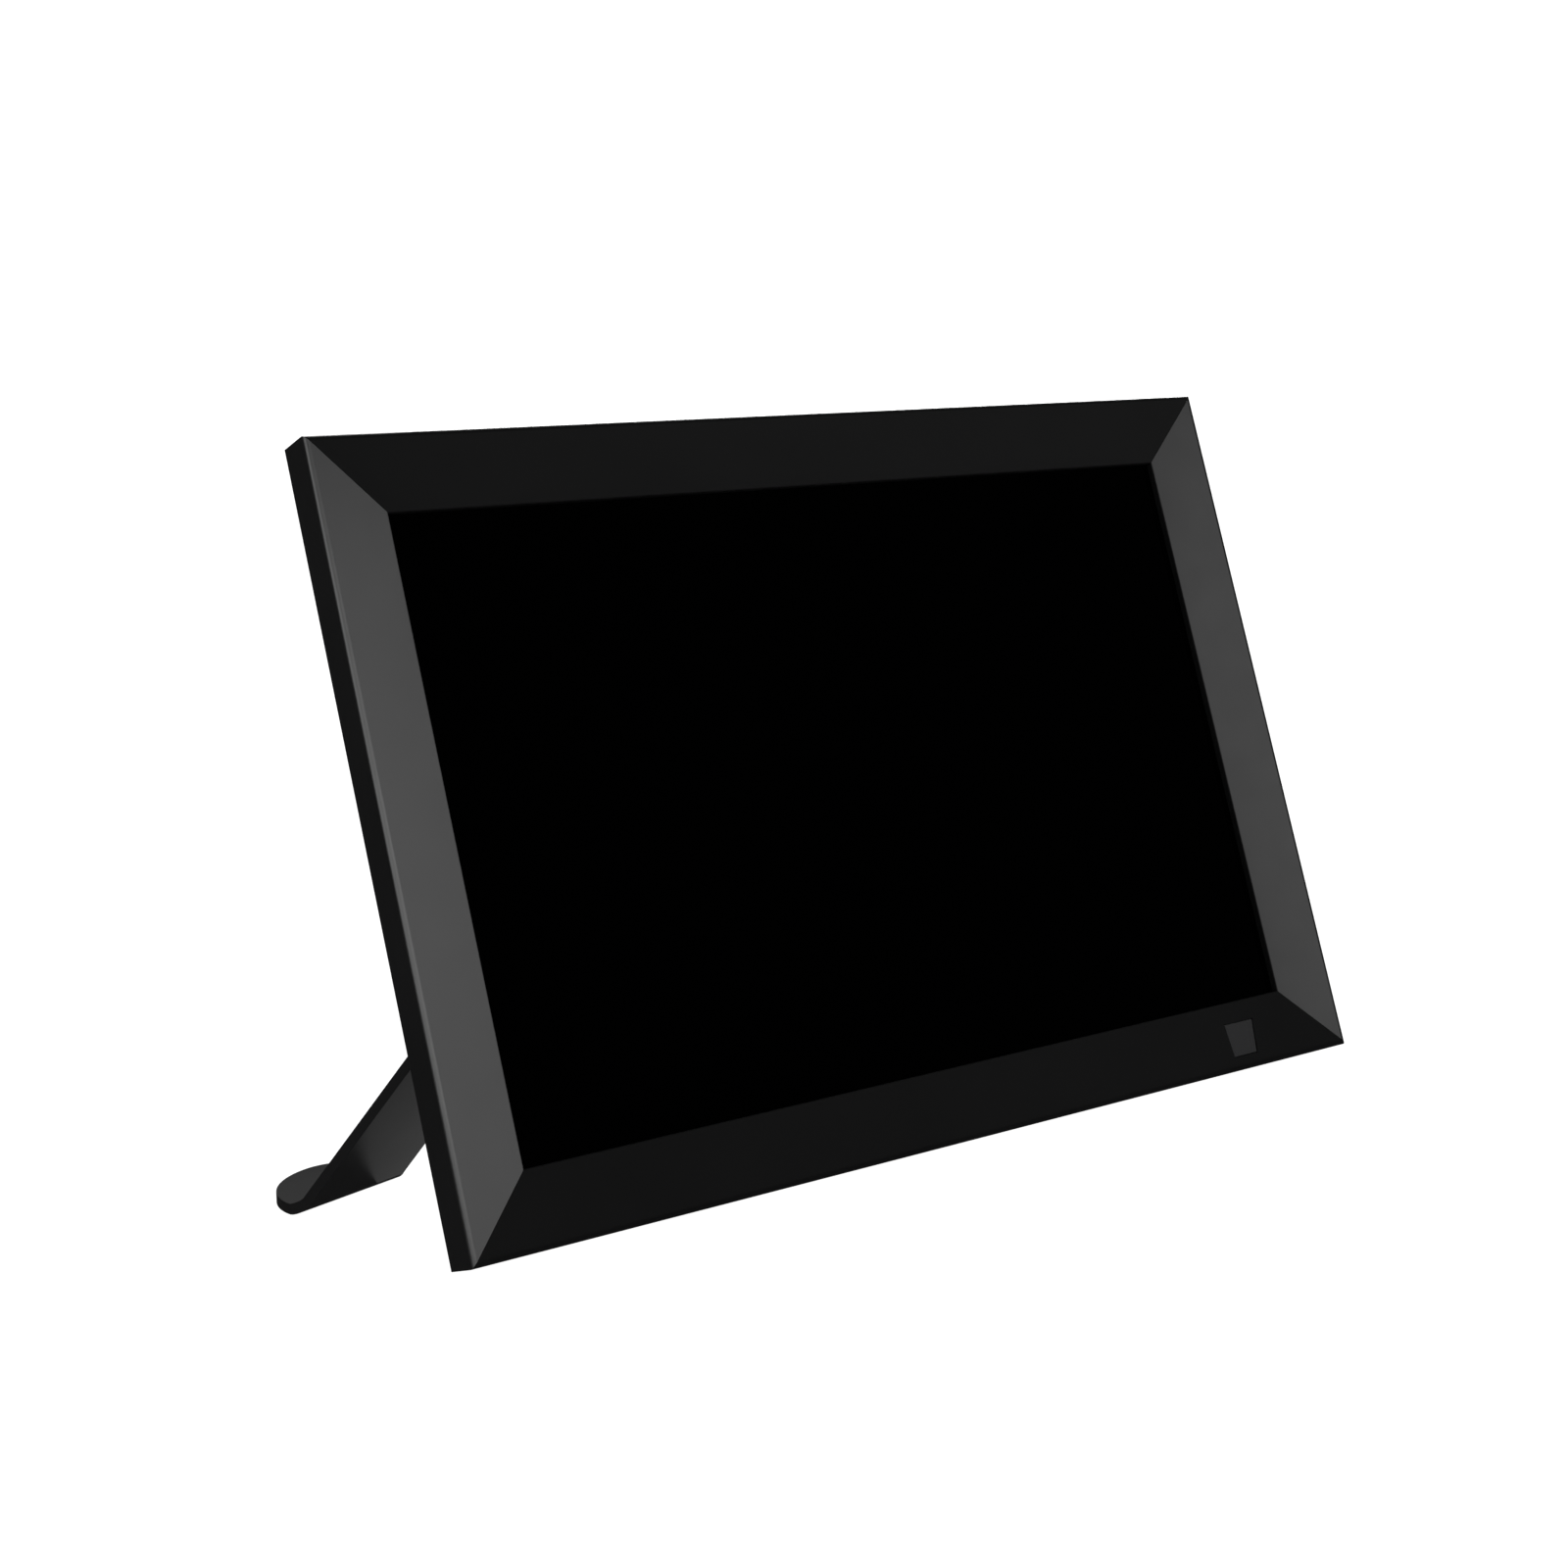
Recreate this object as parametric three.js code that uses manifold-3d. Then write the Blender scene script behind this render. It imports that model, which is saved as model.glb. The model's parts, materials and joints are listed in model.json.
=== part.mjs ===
// Ten-inch digital photo frame with a bevelled rim and two fold-out legs.
// Millimetres, +Z up, the screen faces -Y. The origin is on the table, under the
// centre of the whole object's box. Everything but the ground is laid out in the
// body's own frame: X right, Y from the screen to the back, Z up the back, with
// y = 0 on the rim's back plane and z = 0 on its lower edge.
import * as THREE from 'three';
import { mergeVertices } from 'three/addons/utils/BufferGeometryUtils.js';
import Module from 'manifold-3d';

const wasm = await Module();
wasm.setup();

// Driving dimensions.
const WIDTH = 258;
const HEIGHT = 177;
const RIM_DEPTH = 10.6;
const BEVEL = 17.3;
const RECESS = 2.9;
const WALL = 2;
const EDGE_RADIUS = 1.2;
const TILT = THREE.MathUtils.degToRad(21.63);
const LIFT = 0.4;
const GAP = 0.3;

// Rear cover: a flange, a shallow step over the display and a hump over the electronics.
const FLANGE_EDGE = 2.3;
const FLANGE_FRONT = -2;
const STEP_HALF = 119.5;
const STEP_LOW = 10.5;
const STEP_BACK = 5;
const HUMP_HALF = 80;
const HUMP_LOW = 26;
const HUMP_HIGH = 152;
const HUMP_BACK = 15;
const COVER_WALL = 2;

// Display stack, front faces from the screen to the back.
const GLASS_FRONT = -5.7;
const PANEL_FRONT = -3.4;
const BACKLIGHT_FRONT = -1.9;
const TRAY_BACK = 1;
const TRAY_SHEET = 0.4;
const GLASS_THICKNESS = 1.2;
const PANEL_THICKNESS = 1.2;
const GASKET_SIDE = 4.8;
const GASKET_END = 5.3;
const DISPLAY_HALF = 114.5;
const DISPLAY_HALF_HEIGHT = 74.3;

// Main board, its screws, and the plane that its components stand on.
const BOARD = { left: 4, right: 76, low: 62, high: 142 };
const BOARD_FRONT = 5;
const BOARD_BACK = 6.2;
const PARTS_FRONT = BOARD_BACK + GAP;
const BOARD_SCREWS = [[BOARD.left + 4, BOARD.low + 4], [BOARD.right - 4, BOARD.low + 4],
  [BOARD.left + 4, BOARD.high - 4], [BOARD.right - 15, BOARD.high - 4]];

// Legs: the hinge line of the left one starts at HINGE_START and climbs inboard.
const HINGE_START = new THREE.Vector3(-122, 9.5, 47.7);
const HINGE_CLIMB = THREE.MathUtils.degToRad(15);
const LEG_OPENING = THREE.MathUtils.degToRad(56);
const LEG_SPLAY = THREE.MathUtils.degToRad(33.6);
const LEG_WIDTH = 27.5;
const LEG_THICKNESS = 2.5;
const LEG_BEND_RADIUS = 3.5;
const LIP_LENGTH = 14;
const TOE_FLARE = 2.4;
const BARREL_RADIUS = 3;
const BARREL_ENDS = [5.9, 32.7];
const EAR_ENDS = [[2.4, 5.6], [33, 36.2]];
const EAR_RADIUS = 3.4;
const PIN_RADIUS = 1.2;
const BORE_RADIUS = 1.35;
const SHOULDER = 4;
const LEG_PAD_PROUD = 0.3;

const MID_HEIGHT = HEIGHT / 2;
const OPENING_HALF = WIDTH / 2 - BEVEL;
const OPENING_LOW = BEVEL;
const OPENING_HIGH = HEIGHT - BEVEL;
const BEVEL_SLOPE = Math.atan2(RECESS, BEVEL);

const LOOKS = {
  blackPlastic: { color: 0x1a1a1b, roughness: 0.42, metalness: 0 },
  legPlastic: { color: 0x1c1c1d, roughness: 0.5, metalness: 0 },
  glass: { color: 0x020203, roughness: 0.06, metalness: 0 },
  foam: { color: 0x202022, roughness: 0.95, metalness: 0 },
  panel: { color: 0x0a0a0e, roughness: 0.3, metalness: 0 },
  diffuser: { color: 0xe9e9e4, roughness: 0.6, metalness: 0 },
  steel: { color: 0xb4b6b8, roughness: 0.38, metalness: 1 },
  board: { color: 0x12502f, roughness: 0.5, metalness: 0 },
  chip: { color: 0x17181a, roughness: 0.55, metalness: 0 },
  connector: { color: 0x222224, roughness: 0.5, metalness: 0 },
  amber: { color: 0xb5651d, roughness: 0.4, metalness: 0 },
  wire: { color: 0x8c1512, roughness: 0.55, metalness: 0 },
  rubber: { color: 0x141414, roughness: 0.9, metalness: 0 },
  screw: { color: 0x2b2b2d, roughness: 0.35, metalness: 1 },
  window: { color: 0x2d2d2e, roughness: 0.3, metalness: 0 },
};

const frame = new THREE.Group();
const body = new THREE.Group();
body.rotation.x = -TILT;
frame.add(body);

function piece(name, geometry, look, parent = body) {
  const mesh = new THREE.Mesh(geometry, new THREE.MeshStandardMaterial(LOOKS[look]));
  mesh.name = name;
  parent.add(mesh);
  return mesh;
}

// ---- Closed meshes and joins ----

function solid(geometry) {
  const bare = geometry.clone();
  bare.deleteAttribute('normal');
  bare.deleteAttribute('uv');
  const merged = mergeVertices(bare, 1e-4);
  const index = merged.index.array;
  const kept = [];
  for (let i = 0; i < index.length; i += 3) {
    const [a, b, c] = [index[i], index[i + 1], index[i + 2]];
    if (a !== b && b !== c && c !== a) kept.push(a, b, c);
  }
  return new wasm.Manifold(new wasm.Mesh({
    numProp: 3,
    vertProperties: merged.attributes.position.array,
    triVerts: Uint32Array.from(kept),
  }));
}

function shape(manifold) {
  const mesh = manifold.getMesh();
  const geometry = new THREE.BufferGeometry();
  geometry.setAttribute('position', new THREE.BufferAttribute(mesh.vertProperties, mesh.numProp));
  geometry.setIndex(new THREE.BufferAttribute(mesh.triVerts, 1));
  geometry.computeVertexNormals();
  return geometry;
}

function join(...geometries) {
  return shape(geometries.map(solid).reduce((whole, next) => whole.add(next)));
}

function cut(base, ...tools) {
  return shape(tools.map(solid).reduce((rest, tool) => rest.subtract(tool), solid(base)));
}

function mirrored(geometry) {
  const other = geometry.clone().applyMatrix4(new THREE.Matrix4().makeScale(-1, 1, 1));
  if (!other.index) other.setIndex([...Array(other.attributes.position.count).keys()]);
  const index = other.index.array;
  for (let i = 0; i < index.length; i += 3) [index[i], index[i + 1]] = [index[i + 1], index[i]];
  other.computeVertexNormals();
  return other;
}

// ---- Basic forms, each in the body's frame ----

function box(x0, x1, y0, y1, z0, z1) {
  return new THREE.BoxGeometry(x1 - x0, y1 - y0, z1 - z0)
    .translate((x0 + x1) / 2, (y0 + y1) / 2, (z0 + z1) / 2);
}

function cylinderY(radius, y0, y1, x, z, sides = 16) {
  return new THREE.CylinderGeometry(radius, radius, y1 - y0, sides).translate(x, (y0 + y1) / 2, z);
}

function cylinderX(radius, x0, x1, y, z, sides = 16) {
  return new THREE.CylinderGeometry(radius, radius, x1 - x0, sides)
    .rotateZ(Math.PI / 2)
    .translate((x0 + x1) / 2, y, z);
}

function outlineShape(points) {
  return new THREE.Shape(points.map(([u, v]) => new THREE.Vector2(u, v)));
}

// An (x, z) outline that runs from y0 to y1.
function prismY(points, y0, y1) {
  return new THREE.ExtrudeGeometry(outlineShape(points), { depth: y1 - y0, bevelEnabled: false })
    .rotateX(Math.PI / 2)
    .translate(0, y1, 0);
}

// A (y, z) outline that runs from x0 to x1.
function prismX(points, x0, x1) {
  const turn = new THREE.Matrix4().makeBasis(
    new THREE.Vector3(0, 1, 0), new THREE.Vector3(0, 0, 1), new THREE.Vector3(1, 0, 0));
  return new THREE.ExtrudeGeometry(outlineShape(points), { depth: x1 - x0, bevelEnabled: false })
    .applyMatrix4(turn)
    .translate(x0, 0, 0);
}

function arc(cu, cv, radius, from, to, steps) {
  return Array.from({ length: steps + 1 }, (_, i) => {
    const angle = from + (to - from) * i / steps;
    return [cu + radius * Math.cos(angle), cv + radius * Math.sin(angle)];
  });
}

function roundedRect(x0, x1, z0, z1, radius, steps = 3) {
  const corners = [[x1 - radius, z0 + radius], [x1 - radius, z1 - radius],
    [x0 + radius, z1 - radius], [x0 + radius, z0 + radius]];
  return corners.flatMap(([x, z], i) =>
    arc(x, z, radius, (i - 1) * Math.PI / 2, i * Math.PI / 2, steps));
}

function slot(x, z, width, length) {
  const reach = (length - width) / 2;
  return [...arc(x, z + reach, width / 2, 0, Math.PI, 4),
    ...arc(x, z - reach, width / 2, Math.PI, 2 * Math.PI, 4)];
}

// Stacks (x, z) outlines with the same number of points at rising y into one solid.
function loft(layers) {
  const count = layers[0].outline.length;
  const positions = layers.flatMap(({ outline, y }) => outline.flatMap(([x, z]) => [x, y, z]));
  const index = [];
  for (let layer = 0; layer < layers.length - 1; layer += 1) {
    for (let i = 0; i < count; i += 1) {
      const a = layer * count + i;
      const b = layer * count + (i + 1) % count;
      index.push(a, a + count, b, b, a + count, b + count);
    }
  }
  const last = (layers.length - 1) * count;
  for (let i = 1; i < count - 1; i += 1) {
    index.push(0, i, i + 1, last, last + i + 1, last + i);
  }
  const geometry = new THREE.BufferGeometry();
  geometry.setAttribute('position', new THREE.Float32BufferAttribute(positions, 3));
  geometry.setIndex(index);
  return geometry;
}

// Runs an (outward distance, y) profile round the display opening with mitred corners.
function rimRing(profile) {
  const corners = [[1, -1], [1, 1], [-1, 1], [-1, -1]];
  const positions = corners.flatMap(([sx, sz]) => profile.flatMap(([out, y]) =>
    [sx * (OPENING_HALF + out), y, MID_HEIGHT + sz * (MID_HEIGHT - BEVEL + out)]));
  const count = profile.length;
  const index = [];
  corners.forEach((_, corner) => {
    const next = (corner + 1) % corners.length;
    for (let i = 0; i < count; i += 1) {
      const j = (i + 1) % count;
      const [a, b] = [corner * count + i, corner * count + j];
      const [c, d] = [next * count + i, next * count + j];
      index.push(a, b, c, b, d, c);
    }
  });
  const geometry = new THREE.BufferGeometry();
  geometry.setAttribute('position', new THREE.Float32BufferAttribute(positions, 3));
  geometry.setIndex(index);
  return geometry;
}

function wire(points, radius, steps) {
  const path = new THREE.CatmullRomCurve3(points.map(p => new THREE.Vector3(...p)));
  const section = new THREE.Shape().absarc(0, 0, radius, 0, 2 * Math.PI);
  return new THREE.ExtrudeGeometry(section, {
    steps, curveSegments: 4, bevelEnabled: false, extrudePath: path,
  });
}

// A screw along Y with its head at the back.
function screw(x, z, tip, headFront, headBack, shankRadius, headRadius) {
  const profile = [[0, tip], [shankRadius, tip], [shankRadius, headFront], [headRadius, headFront],
    [headRadius, headBack - 0.3], [headRadius - 0.4, headBack], [0, headBack]];
  return new THREE.LatheGeometry(profile.map(([r, y]) => new THREE.Vector2(r, y)), 12)
    .translate(x, 0, z);
}

// ---- Front bezel and sensor window ----

const SCREW_INSET = 6.4;
const SCREW_COLUMNS = [-123.1, 0, 123.1];
const COVER_SCREWS = [SCREW_INSET, HEIGHT - SCREW_INSET].flatMap(z => SCREW_COLUMNS.map(x => [x, z]));
const WINDOW = { topLeft: 90.1, topRight: 99.9, lowLeft: 89.8, lowRight: 97.7, low: 3.6, high: 12 };

function bevelFront(out) {
  return -RIM_DEPTH + RECESS - out * Math.tan(BEVEL_SLOPE);
}

function windowOutline(grow) {
  return [[WINDOW.lowLeft - grow, WINDOW.low - grow], [WINDOW.lowRight + grow, WINDOW.low - grow],
    [WINDOW.topRight + grow, WINDOW.high + grow], [WINDOW.topLeft - grow, WINDOW.high + grow]];
}

function makeBezel() {
  const plate = 1.7;
  const centre = BEVEL - EDGE_RADIUS;
  const centreY = bevelFront(centre) + EDGE_RADIUS / Math.cos(BEVEL_SLOPE);
  const edge = arc(centre, centreY, EDGE_RADIUS, -Math.PI / 2 - BEVEL_SLOPE, 0, 5);
  const profile = [[0, bevelFront(0) + 0.3], [0.3, bevelFront(0.3)], ...edge, [BEVEL, 0],
    [BEVEL - WALL, 0], [BEVEL - WALL, bevelFront(BEVEL - WALL) + plate], [0, bevelFront(0) + plate]];
  const bosses = COVER_SCREWS.map(([x, z]) => cylinderY(2.6, -8.4, FLANGE_FRONT - GAP, x, z, 12));
  const pilots = COVER_SCREWS.map(([x, z]) => cylinderY(1.3, -7.6, 0, x, z, 12));
  const windowHole = prismY(windowOutline(0.25), -12, -6);
  return cut(join(rimRing(profile), ...bosses), ...pilots, windowHole);
}

function makeWindow() {
  const recess = 0.1;
  const thickness = 1.5;
  const front = (z) => bevelFront(BEVEL - z) + recess;
  const block = prismY(windowOutline(0), -12, -6);
  const wedge = prismX([[front(0), 0], [front(BEVEL), BEVEL],
    [front(BEVEL) + thickness, BEVEL], [front(0) + thickness, 0]], WINDOW.lowLeft - 5, WINDOW.topRight + 5);
  return shape(solid(block).intersect(solid(wedge)));
}

piece('front_bezel', makeBezel(), 'blackPlastic');
piece('sensor_window', makeWindow(), 'window');

// ---- Display stack ----

function displayBlock(halfWidth, halfHeight, y0, y1) {
  return box(-halfWidth, halfWidth, y0, y1, MID_HEIGHT - halfHeight, MID_HEIGHT + halfHeight);
}

function makeTray() {
  const innerHalf = DISPLAY_HALF + GAP;
  const innerHalfHeight = DISPLAY_HALF_HEIGHT + GAP;
  const tray = cut(
    displayBlock(innerHalf + TRAY_SHEET, innerHalfHeight + TRAY_SHEET, PANEL_FRONT, TRAY_BACK),
    displayBlock(innerHalf, innerHalfHeight, PANEL_FRONT - 1, TRAY_BACK - TRAY_SHEET),
  );
  const postRadius = 2.5;
  const threadRadius = 1.2;
  const posts = BOARD_SCREWS.map(([x, z]) =>
    cylinderY(postRadius, TRAY_BACK - 0.2, BOARD_FRONT - GAP, x, z, 12));
  const threads = BOARD_SCREWS.map(([x, z]) =>
    cylinderY(threadRadius, TRAY_BACK + 0.5, BOARD_BACK, x, z, 12));
  return cut(join(tray, ...posts), ...threads);
}

piece('cover_glass', displayBlock(DISPLAY_HALF + 1, DISPLAY_HALF_HEIGHT + 0.7,
  GLASS_FRONT, GLASS_FRONT + GLASS_THICKNESS), 'glass');
piece('display_gasket', cut(
  displayBlock(DISPLAY_HALF, DISPLAY_HALF_HEIGHT,
    GLASS_FRONT + GLASS_THICKNESS + GAP, PANEL_FRONT - GAP),
  displayBlock(DISPLAY_HALF - GASKET_SIDE, DISPLAY_HALF_HEIGHT - GASKET_END, GLASS_FRONT, PANEL_FRONT),
), 'foam');
piece('lcd_panel', displayBlock(DISPLAY_HALF, DISPLAY_HALF_HEIGHT,
  PANEL_FRONT, PANEL_FRONT + PANEL_THICKNESS), 'panel');
piece('backlight_unit', displayBlock(DISPLAY_HALF - 0.5, DISPLAY_HALF_HEIGHT - 0.5,
  BACKLIGHT_FRONT, TRAY_BACK - TRAY_SHEET - GAP), 'diffuser');
piece('panel_tray', makeTray(), 'steel');

// Foam strips press the tray against the rear cover's step.
const FOAM_STRIPS = [
  { side: 'left', left: -112, right: -102, low: 66, high: 146 },
  { side: 'right', left: 102, right: 112, low: 66, high: 146 },
  { side: 'top', left: -60, right: 60, low: 154, high: 162 },
  { side: 'bottom', left: -60, right: 60, low: 14, high: 22 },
];
for (const { side, left, right, low, high } of FOAM_STRIPS) {
  const strip = box(left, right, TRAY_BACK + GAP, STEP_BACK - COVER_WALL - GAP, low, high);
  piece(`foam_strip_${side}`, strip, 'foam');
}

// ---- Main board and what is on it ----

const SIDE_FACE = HUMP_HALF - COVER_WALL - GAP;
const DC = { y: 9.6, z: 131.5, bore: 2.8, half: 4.6 };
const USB = { y: 9.5, z: 110, halfHigh: 2.6, halfWide: 6.3 };
const CARD = { y: 8.2, z: 82, halfHigh: 1.2, halfWide: 12.3 };
const BUTTON = { x: 34, z: 132, radius: 3.6, hole: 4 };
const BOARD_BLOCKS = [
  { name: 'shield_can', left: 12, right: 36, low: 90, high: 114, height: 2.2, look: 'steel' },
  { name: 'memory_chip', left: 12, right: 24, low: 74, high: 86, height: 1, look: 'chip' },
  { name: 'flash_chip', left: 28, right: 40, low: 70, high: 84, height: 1, look: 'chip' },
  { name: 'wifi_module', left: 8, right: 22, low: 118, high: 132, height: 2, look: 'steel' },
  { name: 'power_inductor', left: 56, right: 62, low: 122, high: 128, height: 3, look: 'chip' },
];
const CAPACITORS = [[53, 132.5], [59, 117]];
const CAPACITOR = { radius: 2.5, height: 5 };

function makeBoard() {
  const holes = BOARD_SCREWS.map(([x, z]) => cylinderY(1.5, BOARD_FRONT - 1, BOARD_BACK + 1, x, z, 12));
  return cut(box(BOARD.left, BOARD.right, BOARD_FRONT, BOARD_BACK, BOARD.low, BOARD.high), ...holes);
}

function makeDcJack() {
  const shell = box(64, SIDE_FACE, PARTS_FRONT, DC.y + 2.9, DC.z - DC.half, DC.z + DC.half);
  const socket = cylinderX(DC.bore, 67, HUMP_HALF, DC.y, DC.z);
  const pin = cylinderX(1, 66, SIDE_FACE - 0.5, DC.y, DC.z, 10);
  return join(cut(shell, socket), pin);
}

function makeUsbPort() {
  const shell = box(64, SIDE_FACE, USB.y - 2.9, USB.y + 2.9, USB.z - 6.6, USB.z + 6.6);
  const mouth = box(66, HUMP_HALF, USB.y - USB.halfHigh, USB.y + USB.halfHigh,
    USB.z - USB.halfWide, USB.z + USB.halfWide);
  const tongue = box(65, SIDE_FACE - 1, USB.y - 1.9, USB.y - 0.4, USB.z - 5.6, USB.z + 5.6);
  return join(cut(shell, mouth), tongue);
}

function makeCardSlot() {
  const shell = box(50, SIDE_FACE, PARTS_FRONT, CARD.y + 1.6, CARD.z - 13.6, CARD.z + 13.6);
  return cut(shell, box(54, HUMP_HALF, CARD.y - CARD.halfHigh, CARD.y + CARD.halfHigh,
    CARD.z - CARD.halfWide, CARD.z + CARD.halfWide));
}

function makeTactSwitch() {
  const { x, z } = BUTTON;
  return join(box(x - 3, x + 3, PARTS_FRONT, PARTS_FRONT + 2.2, z - 3, z + 3),
    cylinderY(1.7, PARTS_FRONT + 2, PARTS_FRONT + 3, x, z, 12));
}

piece('main_board', makeBoard(), 'board');
BOARD_SCREWS.forEach(([x, z], i) => {
  piece(`board_screw_${i + 1}`, screw(x, z, 2, BOARD_BACK + GAP, BOARD_BACK + 1.7, 0.9, 2), 'steel');
});
for (const { name, left, right, low, high, height, look } of BOARD_BLOCKS) {
  piece(name, box(left, right, PARTS_FRONT, PARTS_FRONT + height, low, high), look);
}
CAPACITORS.forEach(([x, z], i) => {
  const can = cylinderY(CAPACITOR.radius, PARTS_FRONT, PARTS_FRONT + CAPACITOR.height, x, z, 12);
  piece(`capacitor_${i + 1}`, can, 'connector');
});
piece('tact_switch', makeTactSwitch(), 'connector');
piece('dc_jack', makeDcJack(), 'connector');
piece('usb_port', makeUsbPort(), 'steel');
piece('card_slot', makeCardSlot(), 'steel');

// The display's flat cable folds from the board's lower edge down to the tray.
const FLEX = [[7, 67], [7, 58], [5.6, 54.5], [3, 53], [1.6, 50], [1.6, 40]];
const flexBack = FLEX.map(([y, z]) => [y + 0.3, z - 0.2]);
piece('display_flex', prismX([...FLEX, ...flexBack.reverse()], 24, 42), 'amber');

// ---- Speakers, antenna and inner leads ----

function makeSpeaker(x) {
  return join(box(x - 15, x + 15, STEP_BACK, 10.5, 32, 54), cylinderY(9, 10.4, 12.4, x, 43, 20));
}

const SPEAKER_X = 59;
const LEAD_RADIUS = 0.5;
const LEFT_SPEAKER_LEAD = [[-59, 8, 54.6], [-50, 7, 59], [-22, 5, 60], [-2, 6.2, 60], [8, 8, 72.5]];
const RIGHT_SPEAKER_LEAD = [[50, 8, 54.6], [50.6, 8.6, 58], [51, 8.6, 62], [51, 7.6, 66]];
const ANTENNA = { left: -62, right: -22, low: 134, high: 146, front: 12.1, back: 12.7 };
const ANTENNA_LEAD = [[-21.6, 12.4, 140], [-14, 11, 139], [-4, 9, 134], [7.6, 7.6, 126]];

piece('speaker_left', makeSpeaker(-SPEAKER_X), 'connector');
piece('speaker_right', makeSpeaker(SPEAKER_X), 'connector');
piece('speaker_lead_left', wire(LEFT_SPEAKER_LEAD, LEAD_RADIUS, 24), 'wire');
piece('speaker_lead_right', wire(RIGHT_SPEAKER_LEAD, LEAD_RADIUS, 10), 'wire');
piece('wifi_antenna', box(ANTENNA.left, ANTENNA.right, ANTENNA.front, ANTENNA.back,
  ANTENNA.low, ANTENNA.high), 'amber');
piece('antenna_lead', wire(ANTENNA_LEAD, LEAD_RADIUS, 16), 'wire');

// ---- Sensor behind the window in the lower bevel ----

const SENSOR_LEAD = [[83.6, -4.7, 8], [78, -4.2, 7], [72, -3.6, 7], [66, -3.2, 9]];
piece('sensor_board', box(84, 106, -5.2, -4.2, 3.2, 12.2), 'board');
piece('sensor_element', box(91, 97.5, -7, -5.5, 5, 10.5), 'chip');
piece('sensor_lead', wire(SENSOR_LEAD, 0.4, 12), 'wire');

// ---- Rear cover ----

const KEYHOLES = [-50, 50];
const KEYHOLE = { low: 112, high: 121, head: 4.2, neck: 2.3 };
const VENTS = [-24, -18, -12, -6, 0, 6, 12, 18, 24];
const GRILLE = [-12, -6, 0, 6, 12];

function inset(half, low, high, radius, by) {
  return roundedRect(-half + by, half - by, low + by, high - by, radius - by);
}

// A raised level with a small chamfer round its back edge.
function level(half, low, high, radius, y0, y1, chamfer) {
  return loft([
    { outline: inset(half, low, high, radius, 0), y: y0 },
    { outline: inset(half, low, high, radius, 0), y: y1 - chamfer },
    { outline: inset(half, low, high, radius, chamfer), y: y1 },
  ]);
}

function hinged(geometry) {
  return geometry.rotateY(-HINGE_CLIMB).translate(HINGE_START.x, HINGE_START.y, HINGE_START.z);
}

function makeEar([x0, x1]) {
  const foot = STEP_BACK - 0.5 - HINGE_START.y;
  const ear = join(box(x0, x1, foot, 0, -EAR_RADIUS, EAR_RADIUS), cylinderX(EAR_RADIUS, x0, x1, 0, 0, 20));
  return hinged(cut(ear, cylinderX(BORE_RADIUS, x0 - 1, x1 + 1, 0, 0, 16)));
}

function makeRearCover() {
  const flange = prismY(roundedRect(-WIDTH / 2 + FLANGE_EDGE, WIDTH / 2 - FLANGE_EDGE,
    FLANGE_EDGE, HEIGHT - FLANGE_EDGE, 1), FLANGE_FRONT, 0);
  const stepHigh = HEIGHT - STEP_LOW;
  const outside = join(flange,
    level(STEP_HALF, STEP_LOW, stepHigh, 5, -1, STEP_BACK, 1.2),
    level(HUMP_HALF, HUMP_LOW, HUMP_HIGH, 9, STEP_BACK - 1, HUMP_BACK, 2));
  const stepRoom = level(STEP_HALF - COVER_WALL, STEP_LOW + COVER_WALL, stepHigh - COVER_WALL, 3,
    FLANGE_FRONT - 1, STEP_BACK - COVER_WALL, 0.6);
  const humpRoom = level(HUMP_HALF - COVER_WALL, HUMP_LOW + COVER_WALL, HUMP_HIGH - COVER_WALL, 7,
    FLANGE_FRONT, HUMP_BACK - COVER_WALL, 0.4);
  const ears = EAR_ENDS.map(makeEar);
  const shell = join(cut(outside, stepRoom, humpRoom), ...ears, ...ears.map(mirrored));
  return cut(shell, ...coverHoles());
}

function coverHoles() {
  const through = [HUMP_BACK - COVER_WALL - 1, HUMP_BACK + 1];
  const vents = VENTS.map(x => prismY(slot(x, 72, 2, 26), ...through));
  const grilles = [-SPEAKER_X, SPEAKER_X].flatMap(x =>
    GRILLE.map(dx => prismY(slot(x + dx, 43, 2, 16), ...through)));
  const neckMiddle = (KEYHOLE.low + KEYHOLE.high) / 2;
  const neckLength = KEYHOLE.high - KEYHOLE.low + 2 * KEYHOLE.neck;
  const keyholes = KEYHOLES.flatMap(x => [
    cylinderY(KEYHOLE.head, ...through, x, KEYHOLE.low, 20),
    prismY(slot(x, neckMiddle, 2 * KEYHOLE.neck, neckLength), ...through),
  ]);
  const screwHoles = COVER_SCREWS.flatMap(([x, z]) => [
    cylinderY(1.4, FLANGE_FRONT - 1, 1, x, z, 12),
    cylinderY(2.8, -1.1, 1, x, z, 16),
  ]);
  const wall = [HUMP_HALF - COVER_WALL - 2, HUMP_HALF + 2];
  const ports = [
    cylinderX(4.2, ...wall, DC.y, DC.z, 20),
    box(...wall, USB.y - 3.3, USB.y + 3.3, USB.z - 7.2, USB.z + 7.2),
    box(...wall, CARD.y - 1.8, CARD.y + 1.8, CARD.z - 13, CARD.z + 13),
  ];
  return [...vents, ...grilles, ...keyholes, ...screwHoles, ...ports,
    cylinderY(BUTTON.hole, ...through, BUTTON.x, BUTTON.z, 20)];
}

piece('rear_cover', makeRearCover(), 'blackPlastic');
COVER_SCREWS.forEach(([x, z], i) => {
  piece(`cover_screw_${i + 1}`, screw(x, z, -7, -0.8, 0.2, 1, 2.4), 'screw');
});

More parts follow.
